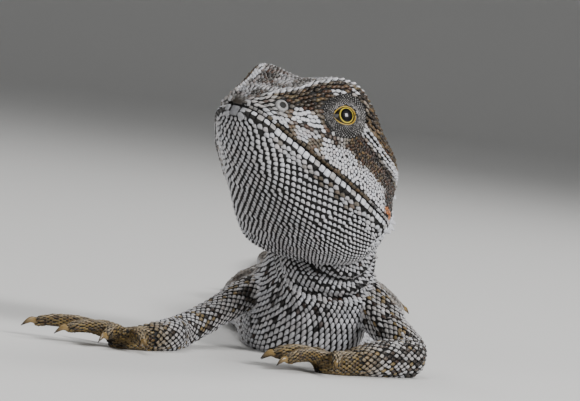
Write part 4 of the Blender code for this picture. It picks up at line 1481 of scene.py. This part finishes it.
def eyeFinish():
    material, nodes, links, shader = newMaterial("eye")
    gaze = nodes.new("ShaderNodeAttribute")
    gaze.attribute_name = "gaze"
    ramp = nodes.new("ShaderNodeValToRGB")
    reach = eyes["bands"][-1][0]
    stops = ramp.color_ramp.elements
    for at, colour in eyes["bands"][1:-1]:
        stops.new(at / reach).color = (*colour, 1)
    stops[0].color = (*eyes["bands"][0][1], 1)
    stops[-1].color = (*eyes["bands"][-1][1], 1)
    scaled = nodes.new("ShaderNodeMath")
    scaled.operation = "DIVIDE"
    scaled.inputs[1].default_value = reach
    links.new(gaze.outputs["Fac"], scaled.inputs[0])
    links.new(scaled.outputs[0], ramp.inputs["Fac"])
    links.new(ramp.outputs["Color"], shader.inputs["Base Color"])
    for name, value in (
        ("Roughness", 0.35), ("Specular IOR Level", 0.1), ("Coat Weight", 0.8), ("Coat IOR", 1.35),
        ("Coat Roughness", 0.03),
    ):
        shader.inputs[name].default_value = value
    return material


def buildEye(name, side, finish):
    # Turned about the gaze: fine rings over the iris, wider ones behind.
    back, out, up = eyeAxes(side)
    centre = eyeCentre(side)
    radius, sides, behind = head["eyeRadius"], eyes["sides"], eyes["behind"]
    angles = [0.02 * k for k in range(1, 34)] + [0.7 + 0.12 * k for k in range(19)]
    points, reach = [centre + (radius + eyes["bulge"]) * out], [0.0]
    for a in angles:
        bulge = eyes["bulge"] * band(a, -1, 0.5, 0.22)
        for i in range(sides):
            turn = 2 * math.pi * i / sides
            spoke = math.cos(turn) * back + math.sin(turn) * up
            points.append(centre + (radius + bulge) * (math.cos(a) * out + math.sin(a) * spoke))
            reach.append(radius * math.sin(a) if a < math.pi / 2 else behind)
    points.append(centre - radius * out)
    reach.append(behind)
    faces = [(0, 1 + i, 1 + (i + 1) % sides) for i in range(sides)]
    start = 1 + (len(angles) - 1) * sides
    for k in range(1, start, sides):
        for i in range(sides):
            j = (i + 1) % sides
            faces.append((k + i, k + sides + i, k + sides + j, k + j))
    faces += [(start + i, len(points) - 1, start + (i + 1) % sides) for i in range(sides)]
    mesh = makeMesh(name, points, faces, mm)
    setValues(mesh, "gaze", "FLOAT", reach)
    mesh.materials.append(finish)
    mesh.shade_smooth()
    ball = addObject(name, mesh)
    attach(ball, "root")
    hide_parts("eye_left" if side > 0 else "eye_right")


def paintedMesh(name, points, faces, marksOf, finish):
    mesh = makeMesh(name, points, faces, mm)
    setValues(mesh, "marks", "FLOAT_COLOR", markValues(marksOf(i) for i in range(len(points))))
    mesh.materials.append(finish)
    mesh.shade_smooth()
    piece = addObject(name, mesh)
    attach(piece, "root")


def lidFinish():
    material, _, _, shader = newMaterial("lidRim")
    shader.inputs["Base Color"].default_value = (0.42, 0.27, 0.02, 1)
    shader.inputs["Roughness"].default_value = 0.35
    return material


def buildLidRim(name, side):
    # A thin ring round the opening of the lids, drawn out at its front and rear corners.
    back, out, up = lidAxes(side)
    centre = eyeCentre(side)
    a, b = head["eyeOpening"]
    around, sides = 64, 8
    points, faces = [], []
    for i in range(around):
        turn = 2 * math.pi * i / around
        c, s = math.cos(turn), math.sin(turn)
        corner = 0.14 * max(0, -side * c) ** 8 + 0.05 * max(0, side * c) ** 8
        x, y = (a + corner) * c, b * math.copysign(abs(s) ** 1.1, s)
        depth = math.sqrt(head["eyeRadius"] ** 2 - x * x - y * y)
        middle = centre + x * back + y * up + (depth + 0.06) * out
        spoke = (x * back + y * up).normalized()
        j = (i + 1) % around
        for k in range(sides):
            swing = 2 * math.pi * k / sides
            offset = 1.1 * math.cos(swing) * spoke + 0.8 * math.sin(swing) * out
            points.append(middle + lids["rimRadius"] * offset)
            n = (k + 1) % sides
            faces.append((sides * i + k, sides * j + k, sides * j + n, sides * i + n))
    paintedMesh(name, points, faces, lambda i: (0.0, 0.0, 0.0), finishes["lidRim"])


def buildNostril(name, side):
    # Rings from the foot over the raised rim and down into the hole, each with its radius and height.
    t, place = head["nostril"]
    u = sideU(place, side)
    point = headSurface(t, u)
    spotOnSkin, out, _, _ = skinTree.find_nearest(point)
    back = headSurface(t + 0.05, u) - point
    back = (back - back.dot(out) * out).normalized()
    across = back.cross(out)
    rows = [(1.1, -0.3), (1.05, 0.02), (0.92, 0.16), (0.74, 0.22), (0.55, 0.18), (0.47, 0.04), (0.4, -0.25)]
    rings, sides = [], 28
    turns = [2 * math.pi * i / sides for i in range(sides)]
    for radius, z in rows:
        middle = spotOnSkin + 0.22 * (1.1 - radius) * (back - side * across) + z * out
        rings.append([middle + radius * (math.cos(a) * back + 0.88 * math.sin(a) * across) for a in turns])
    points, faces = loftRings(rings)
    faces = [f for f in faces if len(points) - 2 not in f]

    def marksOf(i):
        # The rings down in the hole and its floor are painted near-black brown: painted shade in the hole.
        if i >= 5 * sides:
            return 0.04, 0.6, 0.0
        return (0.2, 0.5, 0.0) if i < sides else (0.46, 0.2, 0.0)

    paintedMesh(name, points, faces, marksOf, finishes["smooth"])


finishes["eye"] = eyeFinish()
finishes["lidRim"] = lidFinish()
finishes["smooth"] = scaleFinish("smoothPlate", marks, 0.4, rimLow=2.0, rimHigh=3.0)
for side, end in ((1, "Left"), (-1, "Right")):
    buildEye("eye" + end, side, finishes["eye"])
    buildLidRim("lidRim" + end, side)
    buildNostril("nostril" + end, side)
print("eyes")


# Claws: one to each digit, pale horn with a dark point.
def clawFinish():
    material, nodes, links, shader = newMaterial("clawHorn")
    tip = nodes.new("ShaderNodeAttribute")
    tip.attribute_name = "marks"
    colour = mixNode(nodes, links, tip.outputs["Fac"], (0.23, 0.15, 0.055, 1), (0.012, 0.008, 0.006, 1))
    links.new(colour, shader.inputs["Base Color"])
    shader.inputs["Roughness"].default_value = 0.25
    return material


def buildClaws(name, limb, finish):
    parts, shares, count = [], [], 10
    for tip in limb["tips"]:
        knots = digitKnots(limb, tip)
        tip = Vector(tip)
        along = tip - Vector(knots[0][:3])
        along.z = 0
        along.normalize()
        end = tip + digits["clawLength"] * along
        end.z = max(0.1, end.z - 0.8)
        path = [
            (*(tip - 0.5 * along), 0.4, 0.48), (*(tip + 0.5 * along + Vector((0, 0, 0.22))), 0.33, 0.44),
            (*(tip.lerp(end, 0.68) + Vector((0, 0, 0.3))), 0.18, 0.26), (*end, 0.03, 0.04),
        ]
        surface = tubeSurface(path)
        steps = np.linspace(0, 3, count).tolist()
        parts.append(loftRings([[surface(t, i / count) for i in range(count)] for t in steps]))
        shares += [min(max((k - 3.5) / 4, 0), 1) for k in range(count) for _ in range(count)] + [0, 1]
    points, faces = joined(parts)
    mesh = makeMesh(name, points, faces, mm)
    setValues(mesh, "marks", "FLOAT", shares)
    mesh.materials.append(finish)
    mesh.shade_smooth()
    claws = addObject(name, mesh)
    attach(claws, "root")


finishes["claw"] = clawFinish()
for name, limb in limbs.items():
    buildClaws("claws" + name[0].upper() + name[1:], limb, finishes["claw"])
print("claws")


# Floor, lights and camera.
studio = {
    "flatRadius": 1700, "bendRadius": 900, "wallTop": 3400, "sides": 96,
    "floor": (0.74, 0.73, 0.71, 1), "sky": (0.86, 0.9, 0.95, 1), "skyPower": 0.24,
    "target": (-0.003, -0.05, 0.022),
}


def buildStage():
    # A wide floor that curves up all round into a plain surround.
    flat, bent, sides = studio["flatRadius"], studio["bendRadius"], studio["sides"]
    bends = np.linspace(0, math.pi / 2, 13).tolist()
    profile = [(flat + bent * math.sin(bend), bent - bent * math.cos(bend)) for bend in bends]
    profile.append((flat + bent, studio["wallTop"]))
    turns = np.linspace(0, 2 * math.pi, sides + 1)[:-1].tolist()
    points = [(r * math.cos(a), r * math.sin(a), z) for r, z in profile for a in turns]
    faces = [tuple(range(sides))]
    for k in range(0, sides * (len(profile) - 1), sides):
        for i in range(sides):
            j = (i + 1) % sides
            faces.append((k + i, k + sides + i, k + sides + j, k + j))
    mesh = bpy.data.meshes.new("floor")
    mesh.from_pydata([Vector(p) * mm for p in points], [], faces)
    mesh.shade_smooth()
    mesh.polygons[0].use_smooth = False
    floor = addObject("floor", mesh)
    material, _, _, shader = newMaterial("floor")
    shader.inputs["Base Color"].default_value = studio["floor"]
    shader.inputs["Roughness"].default_value = 0.6
    mesh.materials.append(material)
    world = bpy.data.worlds.new("studio")
    bpy.context.scene.world = world
    world.use_nodes = True
    sky = world.node_tree.nodes["Background"]
    sky.inputs["Color"].default_value = studio["sky"]
    sky.inputs["Strength"].default_value = studio["skyPower"]


studioLights = {
    "key": {"at": (0.58, -0.32, 0.37), "size": 0.2, "power": 5.6},
    "fill": {"at": (-0.2, -0.68, 0.22), "size": 0.3, "power": 1.3},
    "back": {"at": (0.25, 0.5, 0.5), "size": 0.25, "power": 2.2},
    "top": {"at": (-0.2, -0.1, 0.8), "size": 0.5, "power": 3.0},
}


def buildLights():
    target = Vector(studio["target"])
    for name, values in studioLights.items():
        light = bpy.data.lights.new(name, "AREA")
        light.shape = "SQUARE"
        light.size = values["size"]
        light.energy = values["power"]
        lamp = addObject(name, light)
        lamp.location = values["at"]
        lamp.rotation_euler = (target - lamp.location).to_track_quat("-Z", "Y").to_euler()


# The photo's camera: its place in millimetres, its angles in degrees and its lens on a sensor 36 mm wide.
view = {
    "at": (89.4, -564.4, 45.8), "azimuth": 10.0, "elevation": 2.5, "roll": 7.4, "lens": 222.58, "sensor": 36,
}


def buildCamera():
    a, e, roll = (math.radians(view[name]) for name in ("azimuth", "elevation", "roll"))
    right = Vector((math.cos(a), math.sin(a), 0))
    away = Vector((-math.sin(a) * math.cos(e), math.cos(a) * math.cos(e), -math.sin(e)))
    up = right.cross(away)
    across = math.cos(roll) * right + math.sin(roll) * up
    above = math.cos(roll) * up - math.sin(roll) * right
    camera = bpy.data.cameras.new("camera")
    camera.lens = view["lens"]
    camera.sensor_width = view["sensor"]
    camera.sensor_fit = "HORIZONTAL"
    camera.clip_start = 0.01
    obj = addObject("camera", camera)
    turn = Matrix((across, above, -away)).transposed().to_4x4()
    obj.matrix_world = Matrix.Translation(Vector(view["at"]) * mm) @ turn
    bpy.context.scene.camera = obj


buildStage()
buildLights()
buildCamera()
bpy.context.view_layer.update()
print("stage")
